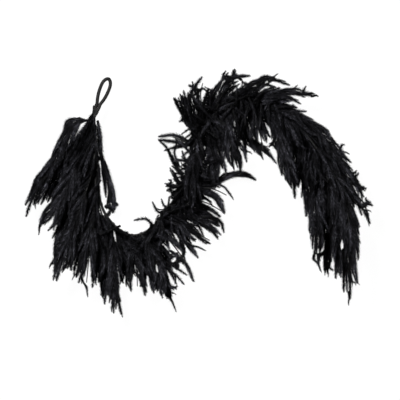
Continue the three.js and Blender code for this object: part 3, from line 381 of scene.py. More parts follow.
needle_mat = make_material("needle_foliage", (0.0024, 0.0024, 0.0029), (0.0165, 0.0165, 0.0198), 38, (0.45, 0.7), 0.25, 900, 0.09)
stem_mat = make_material("stem_tape", (0.006, 0.006, 0.006), (0.016, 0.0155, 0.015), 60, (0.62, 0.85), 0.5, 1400, 0.25)
tape_mat = make_material("core_tape", (0.004, 0.004, 0.004), (0.013, 0.0128, 0.0125), 70, (0.6, 0.85), 0.6, 1500, 0.25)
loop_mat = make_material("loop_wire", (0.003, 0.0028, 0.0027), (0.0095, 0.009, 0.0088), 110, (0.55, 0.8), 0.6, 1800, 0.2)

# ------------------------------------------------------------------ camera, straight above the middle of the lie
scene = bpy.context.scene
cam = bpy.data.objects.new("camera", bpy.data.cameras.new("camera"))
scene.collection.objects.link(cam)
FOCUS_Z = 0.055
cam.location = (0.0119, -0.0172, FOCUS_Z + 5.0)
cam.rotation_euler = (0, 0, 0)
cam.data.sensor_width = 36
cam.data.lens = 36 * 5.0 / (400 * 0.0028)
cam.data.clip_start, cam.data.clip_end = 0.05, 60
scene.camera = cam

# ------------------------------------------------------------------ floor and light
fm = bpy.data.materials.new("floor_white")
fm.use_nodes = True
nt = fm.node_tree
nt.nodes.clear()
o_ = nt.nodes.new("ShaderNodeOutputMaterial")
mix = nt.nodes.new("ShaderNodeAddShader")
dif = nt.nodes.new("ShaderNodeBsdfDiffuse")
dif.inputs["Color"].default_value = (0.04, 0.04, 0.04, 1)
emi = nt.nodes.new("ShaderNodeEmission")
emi.inputs["Color"].default_value = (1, 1, 1, 1)
emi.inputs["Strength"].default_value = 0.975
nt.links.new(dif.outputs[0], mix.inputs[0])
nt.links.new(emi.outputs[0], mix.inputs[1])
nt.links.new(mix.outputs[0], o_.inputs["Surface"])
fmesh = bpy.data.meshes.new("floor")
fmesh.from_pydata([(-12, -12, -0.0006), (12, -12, -0.0006), (12, 12, -0.0006), (-12, 12, -0.0006)], [], [(0, 1, 2, 3)])
fmesh.materials.append(fm)
floor = bpy.data.objects.new("floor", fmesh)
scene.collection.objects.link(floor)
floor.visible_diffuse = False  # a bright table top would light the sprays from below
floor.visible_glossy = False

world = bpy.data.worlds.new("studio")
world.use_nodes = True
world.node_tree.nodes["Background"].inputs["Color"].default_value = (1, 1, 1, 1)
world.node_tree.nodes["Background"].inputs["Strength"].default_value = 0.009
scene.world = world


def area(name, location, target, size, power):
    light = bpy.data.lights.new(name, "AREA")
    light.shape = "RECTANGLE"
    light.size, light.size_y = size
    light.energy = power
    o = bpy.data.objects.new(name, light)
    scene.collection.objects.link(o)
    o.location = location
    d = np.array(target, float) - np.array(location, float)
    import mathutils

    o.rotation_euler = mathutils.Vector(d).to_track_quat("-Z", "Y").to_euler()
    return o


area("key", (-1.1, 1.5, 2.4), (0, 0, 0.05), (0.8, 0.8), 172)
area("fill", (1.9, 0.2, 2.0), (0, 0, 0.05), (0.7, 0.7), 24)
scene.view_settings.view_transform = "Standard"
scene.view_settings.look = "None"
scene.view_settings.exposure = 0
scene.view_settings.gamma = 1

# ------------------------------------------------------------------ core
core = np.array([(x, y, CORE_Z) for x, y in CORE_PLAN], float)
core = catmull(core, 60)
core_d = arc(core)
CORE_L = core_d[-1]


def core_at(s):
    s = np.asarray(s, float)
    p = np.stack([np.interp(s, core_d, core[:, k]) for k in range(3)], -1)
    before, after = core[0] - core[1], core[-1] - core[-2]
    before, after = before / np.linalg.norm(before), after / np.linalg.norm(after)
    p = p + np.clip(-s, 0, None)[..., None] * before + np.clip(s - CORE_L, 0, None)[..., None] * after
    return p


def core_tan(s):
    return unit(core_at(np.asarray(s) + 1.0) - core_at(np.asarray(s) - 1.0))


def wrapped(skin, s0, s1, base_r, step=0.9, sides=22, pitch=9.0, lap=0.32, mat=0, taper=0.0):
    """Core with flat tape wound round it: each turn laps the one before."""
    n = max(8, int(abs(s1 - s0) / step))
    s = np.linspace(s0, s1, n)
    pts = core_at(s)
    ang = np.arange(sides) * 2 * np.pi / sides
    phase = (s[:, None] / pitch - ang[None] / (2 * np.pi)) % 1.0
    edge = np.clip((1 - phase) / 0.10, 0, 1)
    r = base_r + lap * (phase**1.3) * edge + 0.05 * np.sin(s[:, None] * 1.7 + ang[None] * 3)
    if taper:
        m = np.clip(np.minimum(s - s.min(), s.max() - s) / taper, 0, 1)[:, None]
        r = r * (0.55 + 0.45 * np.sqrt(m))
    t = core_tan(s)
    up = np.array([0, 0, 1.0])
    side = unit(np.cross(up, t))
    top = np.cross(t, side)
    ring = pts[:, None] + r[..., None] * (np.cos(ang)[None, :, None] * side[:, None] + np.sin(ang)[None, :, None] * top[:, None])
    v = ring.reshape(-1, 3)
    i, k = np.meshgrid(np.arange(n - 1), np.arange(sides), indexing="ij")
    l = (k + 1) % sides
    quads = np.stack([i * sides + k, i * sides + l, (i + 1) * sides + l, (i + 1) * sides + k], -1).reshape(-1, 4)
    v = np.vstack([v, pts[0], pts[-1]])
    kk = np.arange(sides)
    tris = np.vstack(
        [
            np.stack([np.full(sides, n * sides), (kk + 1) % sides, kk], -1),
            np.stack([np.full(sides, n * sides + 1), (n - 1) * sides + kk, (n - 1) * sides + (kk + 1) % sides], -1),
        ]
    )
    skin.add(v, tris=tris, quads=quads, mat=mat)


JOIN = 11.0  # half length of the taped stretch that bends at each joint
for k in range(SECTIONS):
    s0 = CORE_L * k / SECTIONS + (JOIN if k else 0.4)
    s1 = CORE_L * (k + 1) / SECTIONS - (JOIN if k < SECTIONS - 1 else 0.4)
    skin = Skin()
    wrapped(skin, s0, s1, 3.75)
    piece = skin.build(f"core_wrap_{k + 1}", [tape_mat])
    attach(piece, f"section_{k + 1}")
    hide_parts(f"core_wire_{k + 1}")
for k in range(1, SECTIONS):
    s = CORE_L * k / SECTIONS
    skin = Skin()
    wrapped(skin, s - JOIN - 0.8, s + JOIN + 0.8, 3.8, taper=0.0)
    piece = skin.build(f"core_bend_wrap_{k}", [tape_mat])
    a, b = core_at(s - JOIN), core_at(s + JOIN)
    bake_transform(piece)

# ------------------------------------------------------------------ hanging loops
LOOP_LENGTH, LOOP_HALF = 81.0, 12.2
LOOP_SETBACK = 5.25
LOOP_R = 4.9
OUTLINE = [(0.035, 0.41), (0.1, 0.43), (0.19, 0.6), (0.3, 0.78), (0.42, 0.91), (0.56, 0.99), (0.69, 1.0), (0.81, 0.93), (0.91, 0.7), (0.975, 0.36)]


def cord_tube(skin, line, radius, strands=2, pitch=11.0, sides=16, mat=0, closed=False, rough=0.12):
    """Covered wire: thread wound over it in fine slanting turns."""
    d = arc(line)
    n = max(12, int(d[-1] / 0.8))
    p = resample(line, n)
    if closed:
        p = p[:-1]
        n -= 1
    s = np.linspace(0, d[-1], n)
    ang = np.arange(sides) * 2 * np.pi / sides
    ridge = np.abs(np.sin(np.pi * (s[:, None] / (pitch / 4) + ang[None] / (2 * np.pi) * strands)))
    r = radius * (0.90 + 0.12 * ridge) + rough * 0.5 * np.sin(s[:, None] * 2.9 + 5 * ang[None])
    skin.tube(p, r, sides=sides, mat=mat, closed=closed)


def loop_piece(name, end, body, node, section, binding_node):
    sign = -1 if end == 0 else 1
    tip = 0.0 if end == 0 else CORE_L
    d = core_tan(np.array(tip)) * sign
    side = np.cross([0, 0, 1.0], d)
    foot = core_at(tip) + d * (2 * LOOP_SETBACK - CORE_R)
    pt = lambda u, v, z=0.0: foot + d * u * LOOP_LENGTH + side * v * LOOP_HALF + np.array([0, 0, z])
    # the two legs cross near the foot, one over the other
    right = [pt(u, -v, -1.2) for u, v in OUTLINE[2:]]
    left = [pt(u, v, 1.2) for u, v in OUTLINE[2:]]
    line = [pt(-0.03, -0.34, 1.0), pt(0.04, -0.36, 0.2), pt(0.11, -0.44, -0.6)] + right + [pt(1.0, 0.0)] + left[::-1] + [pt(0.11, 0.44, 0.6), pt(0.04, 0.36, -0.2), pt(-0.03, 0.34, -1.0)]
    skin = Skin()
    cord_tube(skin, catmull(line, 16), LOOP_R, strands=3, pitch=12)
    piece = skin.build(name, [loop_mat])
    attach(piece, body)
    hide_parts(node)
    # the two strands run on side by side, turning slowly, under the first sprays
    skin = Skin()
    sa, sb = 27.0, -(2 * LOOP_SETBACK - CORE_R) - 2.0
    turn = lambda s: 0.10 + 1.25 * np.clip((s + 4) / 30, 0, 1) * (1 if end == 0 else -1)
    u = np.linspace(0, 1, 60)
    s = sa + (sb - sa) * u
    c = core_at(s if end == 0 else CORE_L - s)
    t_ = core_tan(s if end == 0 else CORE_L - s)
    sd = unit(np.cross(np.array([0, 0, 1.0]), t_))
    tp = np.cross(t_, sd)
    for ph in (0.0, math.pi):
        ang = ph + turn(s)
        pts = c + sd * (4.9 * np.cos(ang))[:, None] + tp * (4.9 * np.sin(ang))[:, None]
        cord_tube(skin, pts, LOOP_R, strands=3, pitch=12, sides=14)
    neck = skin.build(name + "_neck", [loop_mat])
    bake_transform(neck)
    # binding: flat tape wound tight over both strands, and the cut tail of the wire beside it
    skin = Skin()
    s0, s1 = 7.5, 20.5
    u = np.linspace(0, 1, 300)
    ang = u * 4.6 * 2 * math.pi
    s = s0 + (s1 - s0) * u
    c = core_at(s if end == 0 else CORE_L - s)
    t_ = core_tan(s if end == 0 else CORE_L - s)
    sd = unit(np.cross(np.array([0, 0, 1.0]), t_))
    tp = np.cross(t_, sd)
    e1 = sd * np.cos(turn(s))[:, None] + tp * np.sin(turn(s))[:, None]
    e2 = np.cross(t_, e1)
    flat = (np.abs(np.cos(ang)) ** 3 + np.abs(np.sin(ang)) ** 3) ** (-1 / 3)
    pts = c + e1 * (9.3 * flat * np.cos(ang))[:, None] + e2 * (5.2 * flat * np.sin(ang))[:, None]
    skin.tube(pts, 1.15 + 0.12 * np.sin(u * 90), sides=8)
    base = core_at(5.0 if end == 0 else CORE_L - 5.0)
    tail = np.array([base + side * 5.0 * sign * -1 + d * -9, base + side * 9.0 * sign * -1 + d * 0.0, base + side * 10.8 * sign * -1 + d * 7.0 + [0, 0, 1.5]])
    cord_tube(skin, catmull(tail, 10), 2.3, strands=3, pitch=8, sides=10)
    b_ = skin.build(binding_node + "_wrap", [tape_mat])
    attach(b_, section)
    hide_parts(binding_node)


loop_piece("loop_start", 0, "start_loop", "hanging_loop_start", "section_1", "loop_binding_start")
loop_piece("loop_end", 1, "end_loop", "hanging_loop_end", f"section_{SECTIONS}", "loop_binding_end")


# ------------------------------------------------------------------ sprays
STEM_W = 5.5


def span(t, full):
    u = np.clip((t - 0.03) / 0.27, 0, 1)
    return (STEM_W + (full - STEM_W) * u * u * (3 - 2 * u)) * (1 - 0.42 * np.clip((t - 0.72) / 0.28, 0, 1) ** 2)


class Fingers:
    """Many needle-covered branchlets gathered and grown at once."""

    def __init__(self, skin, seed, cut=()):
        self.skin = skin
        self.rng = np.random.default_rng(seed)
        self.cut, self.number = set(cut), -1

    def grow(self, pts, thick=1.0, over=None, spacing=2.7, whorl=7, reach=7.4):
        """One branchlet along pts (millimetres), unless it is one of those pruned away."""
        self.number += 1
        if self.number in self.cut:
            return
        r = self.rng
        pts = np.asarray(pts, float)
        pts[:, 2] = np.maximum(pts[:, 2], 4.2 * thick)
        L = arc(pts)[-1]
        if L < 6:
            return
        # painted shade and light: branchlets lying underneath are painted darker than those on top, and those on top
        # paler, as shade falls below and light on top
        if over is None:
            over = r.random() < 0.45
        self.skin.shade = r.uniform(0.85, 2.1) if over else r.uniform(0.2, 0.6)
        n = max(6, int(L / 7) + 2)
        p = resample(pts, n)
        u = np.linspace(0, 1, n)
        core_r = (3.7 - 3.0 * u**1.8) * thick
        # painted shade: the branchlet's own core is painted at 0.3 of the branchlet's level, as shade deep among its
        # needles
        painted_light_randomised, self.skin.shade = self.skin.shade, self.skin.shade * 0.3
        self.skin.tube(p, core_r, sides=6, mat=0)
        self.skin.shade = painted_light_randomised
        t, a, b = frames(p)
        m = max(4, int(L / spacing))
        su = np.linspace(0.0, 1.0, m) + r.uniform(-0.3, 0.3, m) / m
        su = np.clip(su, 0, 1)
        su = np.repeat(su, whorl)
        ang = np.repeat(np.arange(m) * 2.399 + r.uniform(0, 6.28), whorl) + np.tile(np.arange(whorl) * 2 * np.pi / whorl, m) + r.uniform(-0.28, 0.28, m * whorl)
        P = np.stack([np.interp(su, u, p[:, k]) for k in range(3)], -1)
        T = unit(np.stack([np.interp(su, u, t[:, k]) for k in range(3)], -1))
        A = np.stack([np.interp(su, u, a[:, k]) for k in range(3)], -1)
        A = unit(A - T * (A * T).sum(1)[:, None])
        B = np.cross(T, A)
        out = A * np.cos(ang)[:, None] + B * np.sin(ang)[:, None]
        fade = np.clip((1 - su) * L / 20.0, 0, 1) ** 0.7
        near = np.clip(su * L / 10.0, 0.25, 1)
        ext = reach * thick * (0.30 + 0.70 * fade) * near * r.uniform(0.82, 1.12, len(su))
        alpha = np.radians(32 + 18 * fade + r.uniform(-8, 8, len(su)))
        length = ext / np.sin(alpha)
        length = np.clip(length, 2.0, 11.0)
        rc = np.interp(su, u, core_r)
        base = P + out * (rc * 0.5)[:, None]
        width = (1.9 + 0.8 * fade) * thick * r.uniform(0.85, 1.15, len(su))
        # painted light: needles facing up are painted paler than those on a branchlet's flanks, as if lit from above,
        # with random spread by needle and by whorl
        painted_light_randomised = (0.09 + 1.9 * np.clip(out[:, 2], 0, 1) ** 1.8) * r.uniform(0.5, 1.5, len(su)) * np.repeat(r.uniform(0.25, 1.75, m), whorl)
        self.skin.needles(base, T, out, length, width, alpha, painted_light_randomised, mat=0)
        self.skin.shade = 1.0


EXTRA = {}


def lone(index, thick, *points):
    """A branchlet that stands clear of its spray, by its own route."""
    EXTRA.setdefault(index, []).append((thick, np.array(points, float)))


FINGERS = 40
BASAL = 18
BARBS = 26
TANGLE = [0, 2, 5, 9, 15, 15, 11, 4, 2]
# how many of the short branchlets go over the back of the core, and how far they lean out there, by section
BACK_SHARE = [0.10, 0.10, 0.10, 0.20, 0.35, 0.45, 0.45, 0.35, 0.35]
BACK_LEAN = [0.10, 0.08, 0.05, 0.08, 0.15, 0.45, 0.60, 0.30, 0.30]

SPARSE = {3: (13, 0.8), 19: (1, 0.6), 23: (3, 0.75), 25: (10, 0.8), 26: (3, 0.75), 27: (1, 0.6), 32: (12, 0.85), 34: (14, 0.9)}  # branchlets, stoutness
DROOP = {3: (0, -0.1), 9: (0, -0.1), 19: (0, 0.1), 23: (0, 0.1), 26: (0, 0.1), 27: (-0.1, -0.1), 28: (0.12, 0.1), 30: (0.25, -0.02), 32: (0.3, -0.05), 34: (0.2, -0.12), 36: (0.1, -0.12)}  # where the free ends bend to, x and y
FEW_BASAL = {3: 0, 19: 2, 23: 2, 26: 4, 27: 8}
lone(1, 0.90, (-423, 60, 49), (-454, 15, 49), (-477, -30, 49))
lone(1, 0.90, (-429, 37, 60), (-457, -13, 60), (-474, -61, 60))
lone(1, 0.80, (-300, 204, 54), (-328, 208, 55), (-356, 197, 56))
lone(1, 0.90, (-323, 212, 53), (-351, 203, 54), (-370, 175, 54))
lone(1, 0.90, (-345, 200, 52), (-367, 175, 52), (-379, 141, 53))
lone(1, 1.00, (-418, 49, 59), (-440, 9, 59), (-451, -24, 59))
lone(1, 1.00, (-306, 177, 54), (-339, 133, 56), (-367, 88, 57))
lone(1, 1.00, (-325, 205, 53), (-337, 172, 54), (-353, 133, 55))
lone(1, 0.80, (-334, 211, 49), (-362, 203, 50), (-370, 166, 51))
lone(1, 0.62, (-455, -10, 55), (-451, -22, 55), (-450, -34, 55), (-449, -40, 55))
lone(2, 0.90, (-390, 60, 28), (-415, 15, 26), (-435, -27, 25))
lone(2, 0.90, (-373, 65, 27), (-398, 21, 25), (-415, -19, 23))
lone(2, 1.00, (-311, 166, 42), (-345, 116, 36), (-376, 65, 32))
lone(2, 1.00, (-323, 158, 38), (-359, 105, 32), (-387, 54, 29))
lone(2, 1.00, (-309, 183, 43), (-325, 161, 39), (-342, 121, 35))
lone(3, 0.80, (-272, 189, 46), (-267, 155, 41), (-268, 116, 37))
lone(3, 0.75, (-258, 71, 31), (-239, 26, 30), (-227, -19, 29))
lone(3, 0.60, (-230, 9, 28), (-232, -27, 27), (-253, -63, 27))
lone(3, 0.90, (-275, 205, 47), (-269, 163, 44), (-267, 121, 38))
lone(3, 0.90, (-269, 149, 39), (-264, 107, 35), (-250, 65, 32))
lone(3, 0.90, (-258, 93, 32), (-244, 51, 30), (-233, 9, 29))
lone(3, 0.90, (-256, 79, 29), (-244, 32, 27), (-239, -19, 26))
lone(3, 0.80, (-244, 43, 38), (-230, 4, 38), (-233, -33, 37))
lone(3, 0.70, (-230, 1, 36), (-230, -35, 35), (-253, -66, 35))
lone(3, 1.00, (-255, -35, 37), (-249, -35, 37), (-234, -37, 37), (-227, -42, 37))
lone(3, 1.00, (-245, -18, 33), (-241, -20, 33), (-228, -27, 33), (-221, -31, 33))
lone(3, 1.00, (-255, -36, 37), (-250, -37, 37), (-234, -41, 37), (-233, -51, 37))
lone(3, 0.85, (-227, -25, 35), (-222, -28, 35), (-231, -40, 35), (-231, -49, 35))
lone(4, 0.90, (-379, -19, 82), (-412, -75, 81), (-437, -111, 81))
lone(4, 0.90, (-384, -30, 80), (-407, -69, 79), (-432, -86, 79))
lone(4, 1.00, (-373, -35, 82), (-407, -91, 81), (-423, -119, 81))
lone(4, 0.50, (-432, -75, 79), (-434, -88, 79), (-436, -103, 79), (-438, -113, 79))
lone(4, 0.50, (-436, -85, 67), (-438, -97, 67), (-437, -107, 67), (-438, -113, 67))
lone(5, 0.90, (-356, -19, 49), (-379, -80, 46), (-401, -122, 44))
lone(5, 0.90, (-356, -69, 45), (-381, -136, 41), (-401, -195, 39))
lone(5, 1.00, (-367, -61, 40), (-390, -119, 37), (-398, -170, 35))
lone(6, 0.90, (-362, -145, 102), (-381, -192, 99), (-395, -237, 97))
lone(6, 0.90, (-356, -145, 100), (-373, -192, 97), (-386, -240, 95))
lone(6, 0.50, (-396, -186, 102), (-398, -190, 102), (-404, -200, 102), (-406, -206, 102))
lone(7, 0.90, (-334, -125, 7), (-348, -170, 7), (-362, -209, 7))
lone(7, 0.90, (-325, -131, 17), (-334, -175, 16), (-345, -212, 11))
lone(8, 0.90, (-300, -147, 94), (-309, -198, 93), (-325, -245, 91))
lone(8, 0.90, (-292, -181, 91), (-297, -231, 90), (-306, -273, 88))
lone(8, 1.00, (-269, 11, 60), (-260, 2, 60), (-251, -6, 60), (-255, -11, 60))
lone(8, 0.50, (-323, -213, 98), (-332, -222, 98), (-340, -232, 98), (-343, -238, 98))
lone(8, 0.50, (-318, -231, 77), (-314, -244, 77), (-304, -266, 77), (-301, -286, 77))
lone(8, 0.50, (-312, -248, 77), (-303, -261, 77), (-303, -276, 77), (-301, -286, 77))
lone(9, 0.90, (-278, -159, 64), (-281, -209, 62), (-289, -259, 61))
lone(9, 0.90, (-267, -153, 62), (-267, -203, 61), (-272, -245, 59))
lone(10, 0.90, (-253, -209, 36), (-253, -259, 35), (-256, -307, 35))
lone(10, 0.80, (-244, -215, 34), (-236, -265, 33), (-233, -315, 33))
lone(10, 0.50, (-259, -74, 40), (-250, -66, 40), (-240, -57, 40), (-239, -49, 40))
lone(11, 0.62, (-222, -243, 68), (-216, -293, 65), (-205, -343, 62))
lone(11, 0.90, (-227, -192, 67), (-219, -231, 66), (-216, -273, 64))
lone(12, 0.90, (-199, -181, 7), (-188, -226, 7), (-183, -271, 7))
lone(12, 0.50, (-198, -243, 7), (-196, -248, 7), (-187, -264, 7), (-183, -276, 7))
lone(13, 0.90, (-160, -192, 72), (-149, -237, 75), (-141, -282, 76))
lone(14, 0.90, (-138, -192, 43), (-127, -234, 42), (-118, -276, 40))
lone(14, 0.70, (-91, -262, 42), (-76, -261, 42), (-61, -261, 42), (-55, -267, 42))
lone(15, 0.90, (-118, -209, 77), (-104, -248, 82), (-93, -287, 85))
lone(15, 1.00, (-84, -246, 72), (-75, -254, 72), (-62, -264, 72), (-54, -258, 72))
lone(15, 0.50, (-59, -227, 81), (-56, -234, 81), (-57, -246, 81), (-58, -251, 81))
lone(16, 0.90, (-88, -215, 9), (-76, -259, 8), (-71, -301, 7))
lone(16, 0.70, (-82, -231, 7), (-68, -276, 7), (-57, -329, 7))
lone(16, 1.00, (-55, -212, 22), (-51, -209, 22), (-56, -194, 22), (-47, -189, 22))
lone(16, 1.00, (-80, -186, 24), (-75, -184, 24), (-63, -177, 24), (-55, -174, 24))
lone(16, 0.50, (-88, -278, 5), (-75, -279, 5), (-63, -280, 5), (-57, -284, 5))
lone(16, 0.58, (-73, -291, 4), (-71, -295, 4), (-62, -316, 4), (-56, -332, 4))
lone(16, 0.64, (-77, -176, 30), (-73, -173, 30), (-62, -168, 30), (-56, -169, 30))
lone(16, 1.00, (-64, -197, 23), (-50, -191, 23), (-38, -188, 23), (-37, -195, 23))
lone(17, 0.90, (-71, -159, 56), (-31, -192, 59), (-6, -243, 62))
lone(17, 0.75, (-82, -192, 69), (-51, -209, 71), (-26, -226, 72))
lone(17, 0.80, (-88, -203, 67), (-57, -226, 69), (-34, -251, 71))
lone(18, 0.90, (-43, -125, 39), (-15, -147, 37), (5, -178, 35))
lone(18, 0.50, (-22, -143, 39), (-10, -145, 39), (11, -151, 39), (25, -159, 39))
lone(18, 1.00, (-32, -161, 50), (-33, -165, 50), (-41, -180, 50), (-51, -181, 50))
lone(18, 0.50, (-10, -147, 32), (5, -149, 32), (18, -155, 32), (27, -159, 32))
lone(19, 0.75, (-82, -58, 50), (-107, -49, 53), (-121, -24, 50))
lone(19, 0.70, (-71, -49, 45), (-88, -35, 45), (-96, -16, 45))
lone(19, 0.80, (-110, -111, 53), (-122, -86, 54), (-141, -70, 53), (-171, -74, 52))
lone(20, 0.90, (-29, -97, 71), (8, -119, 76), (38, -138, 79))
lone(20, 0.90, (-6, -69, 69), (30, -91, 74), (61, -119, 78))
lone(20, 0.90, (19, -66, 80), (50, -66, 83), (69, -77, 85), (78, -105, 86))
lone(20, 0.75, (22, -77, 79), (50, -94, 82), (69, -114, 84))
lone(20, 0.75, (19, -83, 77), (44, -101, 80), (61, -125, 82))
lone(21, 0.90, (-17, -19, 42), (27, -35, 40), (66, -63, 38))
lone(21, 0.80, (-26, -52, 39), (5, -86, 37), (22, -119, 36))
lone(21, 0.80, (10, -27, 41), (41, -41, 40), (69, -63, 39))
lone(21, 0.75, (8, -38, 39), (36, -55, 38), (59, -75, 37))
lone(22, 0.90, (2, -7, 26), (36, -27, 16), (58, -58, 13))
lone(22, 0.60, (19, -7, 15), (36, -19, 10), (48, -35, 10))
lone(23, 0.75, (-46, -13, 66), (-65, -2, 68), (-74, 26, 73))
lone(23, 0.70, (-31, 26, 58), (-54, 40, 72), (-71, 65, 75))
lone(23, 1.00, (-81, 24, 52), (-78, 25, 52), (-68, 33, 52), (-73, 38, 52))
lone(24, 0.85, (5, 21, 67), (47, -2, 75), (79, -52, 75))
lone(24, 0.65, (44, 30, 76), (75, 22, 77), (92, 4, 77), (104, -14, 77))
lone(24, 1.15, (19, 9, 71), (52, 1, 75), (70, -21, 75), (79, -52, 75))
lone(24, 1.00, (22, 1, 70), (50, -9, 73), (66, -30, 73), (76, -49, 73))
lone(25, 0.75, (52, 26, 32), (97, 57, 29), (136, 57, 30), (167, 40, 31))
lone(25, 0.90, (27, 26, 33), (72, 43, 28), (108, 61, 27))
lone(25, 1.15, (13, 4, 31), (58, 29, 25), (103, 54, 23))
lone(25, 1.15, (22, 18, 41), (69, 37, 35), (125, 61, 35))
lone(25, 0.90, (47, 26, 35), (86, 46, 32), (125, 51, 33))
lone(25, 1.00, (92, 51, 30), (120, 60, 31), (142, 56, 31), (167, 40, 32))
lone(25, 0.80, (97, 54, 28), (125, 60, 29), (153, 54, 29))
lone(26, 0.75, (-37, 60, 39), (-60, 82, 34), (-74, 112, 31))
lone(27, 1.00, (-20, 145, 46), (-43, 159, 46), (-65, 165, 46), (-102, 161, 46))
lone(27, 1.00, (-26, 133, 44), (-54, 145, 44), (-76, 148, 44), (-102, 152, 44))
lone(27, 0.80, (-48, 71, 55), (-68, 102, 55), (-82, 130, 55), (-102, 149, 55))
lone(27, 0.70, (-46, 77, 53), (-60, 113, 53), (-54, 141, 53))
lone(27, 0.80, (-48, 71, 51), (-62, 93, 51), (-75, 119, 51))
lone(27, 0.70, (-48, 37, 49), (-62, 60, 49), (-72, 72, 49))
lone(28, 0.90, (-26, 217, 69), (-46, 239, 73), (-60, 264, 75))
lone(28, 0.90, (-15, 228, 68), (-31, 250, 71), (-43, 275, 73))
lone(28, 0.80, (-15, 239, 67), (-26, 261, 70), (-34, 287, 71))
lone(28, 1.00, (5, 189, 65), (-15, 225, 73), (-20, 264, 78))
lone(28, 1.00, (-1, 177, 59), (-23, 211, 68), (-31, 250, 73))
lone(28, 0.90, (-23, 189, 71), (-37, 222, 76), (-57, 264, 81))
lone(28, 0.50, (-39, 256, 74), (-43, 258, 74), (-56, 261, 74), (-61, 267, 74))
lone(28, 1.00, (-28, 225, 71), (-35, 214, 71), (-39, 205, 71), (-44, 203, 71))
lone(28, 0.50, (-40, 255, 74), (-45, 257, 74), (-57, 262, 74), (-61, 268, 74))
lone(30, 0.80, (19, 245, 33), (19, 270, 30), (33, 292, 28))
lone(30, 0.90, (36, 239, 45), (41, 275, 41), (66, 312, 38))
lone(30, 1.00, (16, 211, 48), (-3, 253, 39), (-12, 289, 37))
lone(30, 0.90, (27, 222, 41), (10, 261, 35), (5, 295, 32))
lone(30, 1.00, (-17, 239, 33), (-17, 267, 31), (-9, 292, 30), (16, 327, 28))
lone(30, 0.60, (-12, 270, 40), (8, 289, 39), (24, 295, 38), (36, 275, 40), (36, 253, 42))
lone(30, 1.00, (2, 300, 25), (0, 302, 25), (-12, 301, 25), (-17, 304, 25))
lone(30, 0.90, (25, 265, 77), (28, 277, 77), (32, 293, 77), (25, 301, 77))
lone(30, 0.80, (3, 289, 39), (3, 293, 39), (14, 293, 39), (18, 298, 39))
lone(30, 0.77, (36, 263, 37), (35, 277, 37), (35, 288, 37), (37, 293, 37))
lone(30, 1.00, (1, 294, 26), (-2, 297, 26), (-12, 302, 26), (-17, 305, 26))
lone(30, 1.00, (47, 297, 27), (59, 308, 27), (69, 316, 27), (64, 320, 27))
lone(31, 1.00, (58, 200, 48), (75, 149, 49), (86, 102, 49))
lone(31, 1.00, (61, 183, 44), (66, 127, 45), (75, 74, 45))
lone(31, 0.90, (64, 121, 47), (78, 91, 47), (85, 57, 47))
lone(31, 0.90, (47, 121, 45), (61, 93, 45), (66, 60, 45))
lone(32, 0.80, (58, 250, 55), (75, 301, 59), (103, 326, 60), (148, 331, 62))
lone(32, 0.85, (75, 250, 54), (92, 284, 56), (120, 306, 59))
lone(32, 1.00, (52, 233, 48), (52, 273, 50), (66, 306, 52))
lone(32, 1.00, (86, 245, 46), (103, 278, 49), (125, 295, 52))
lone(32, 0.90, (61, 289, 57), (72, 315, 58), (89, 337, 59))
lone(32, 0.85, (75, 301, 56), (94, 320, 57), (111, 343, 58))
lone(32, 0.85, (86, 306, 54), (114, 326, 56), (150, 330, 56))
lone(32, 0.70, (80, 301, 52), (103, 309, 53), (117, 315, 54))
lone(32, 0.83, (104, 326, 60), (99, 327, 60), (78, 330, 60), (83, 342, 60))
lone(32, 1.00, (96, 314, 60), (90, 319, 60), (77, 326, 60), (78, 335, 60))
lone(32, 0.72, (92, 326, 59), (94, 324, 59), (103, 316, 59), (109, 313, 59))
lone(32, 1.00, (82, 312, 58), (83, 308, 58), (90, 298, 58), (95, 302, 58))
lone(32, 0.50, (57, 281, 52), (39, 293, 52), (29, 297, 52), (26, 300, 52))
lone(33, 0.85, (103, 166, 61), (131, 130, 66), (142, 91, 69))
lone(33, 0.85, (94, 155, 74), (117, 113, 78), (125, 65, 80))
lone(33, 1.00, (78, 200, 58), (86, 149, 65), (78, 96, 69))
lone(33, 1.00, (86, 211, 65), (100, 166, 72), (106, 121, 77))
lone(33, 1.00, (103, 239, 60), (117, 189, 70), (120, 138, 77))
lone(33, 1.00, (69, 133, 68), (111, 114, 70), (125, 88, 73), (124, 60, 73))
lone(33, 0.60, (126, 124, 52), (137, 120, 52), (150, 118, 52), (156, 113, 52))
lone(34, 0.90, (120, 267, 51), (159, 306, 55), (204, 323, 56), (260, 305, 58))
lone(34, 0.80, (170, 306, 53), (198, 306, 54), (223, 298, 55))
lone(34, 0.80, (170, 315, 51), (192, 329, 52), (218, 326, 53))
lone(34, 1.00, (108, 245, 56), (131, 275, 58), (159, 289, 60))
lone(34, 0.76, (129, 319, 51), (118, 329, 51), (103, 339, 51), (109, 347, 51))
lone(34, 0.50, (207, 312, 72), (215, 322, 72), (223, 331, 72), (229, 335, 72))
lone(34, 0.65, (127, 318, 51), (114, 330, 51), (105, 341, 51), (109, 348, 51))
lone(34, 0.50, (207, 316, 56), (216, 324, 56), (224, 332, 56), (229, 335, 56))
lone(34, 1.00, (155, 303, 38), (148, 306, 38), (138, 310, 38), (135, 313, 38))
lone(35, 0.85, (159, 138, 9), (198, 124, 7), (226, 88, 7))
lone(35, 0.75, (134, 172, 16), (164, 166, 8), (195, 158, 7))
lone(35, 0.75, (153, 138, 7), (178, 124, 7), (190, 99, 7))
lone(35, 1.00, (114, 239, 37), (128, 194, 19), (136, 147, 7))
lone(35, 1.00, (120, 228, 41), (131, 189, 27), (142, 149, 15))
lone(35, 0.50, (178, 132, 6), (189, 133, 6), (200, 134, 6), (205, 135, 6))
lone(35, 0.59, (208, 102, 6), (211, 98, 6), (222, 96, 6), (227, 92, 6))
lone(36, 0.85, (215, 281, 74), (260, 287, 79), (302, 270, 83))
lone(36, 0.90, (265, 284, 78), (304, 292, 81), (341, 274, 84))
lone(36, 0.85, (209, 270, 69), (254, 270, 75), (290, 252, 78))
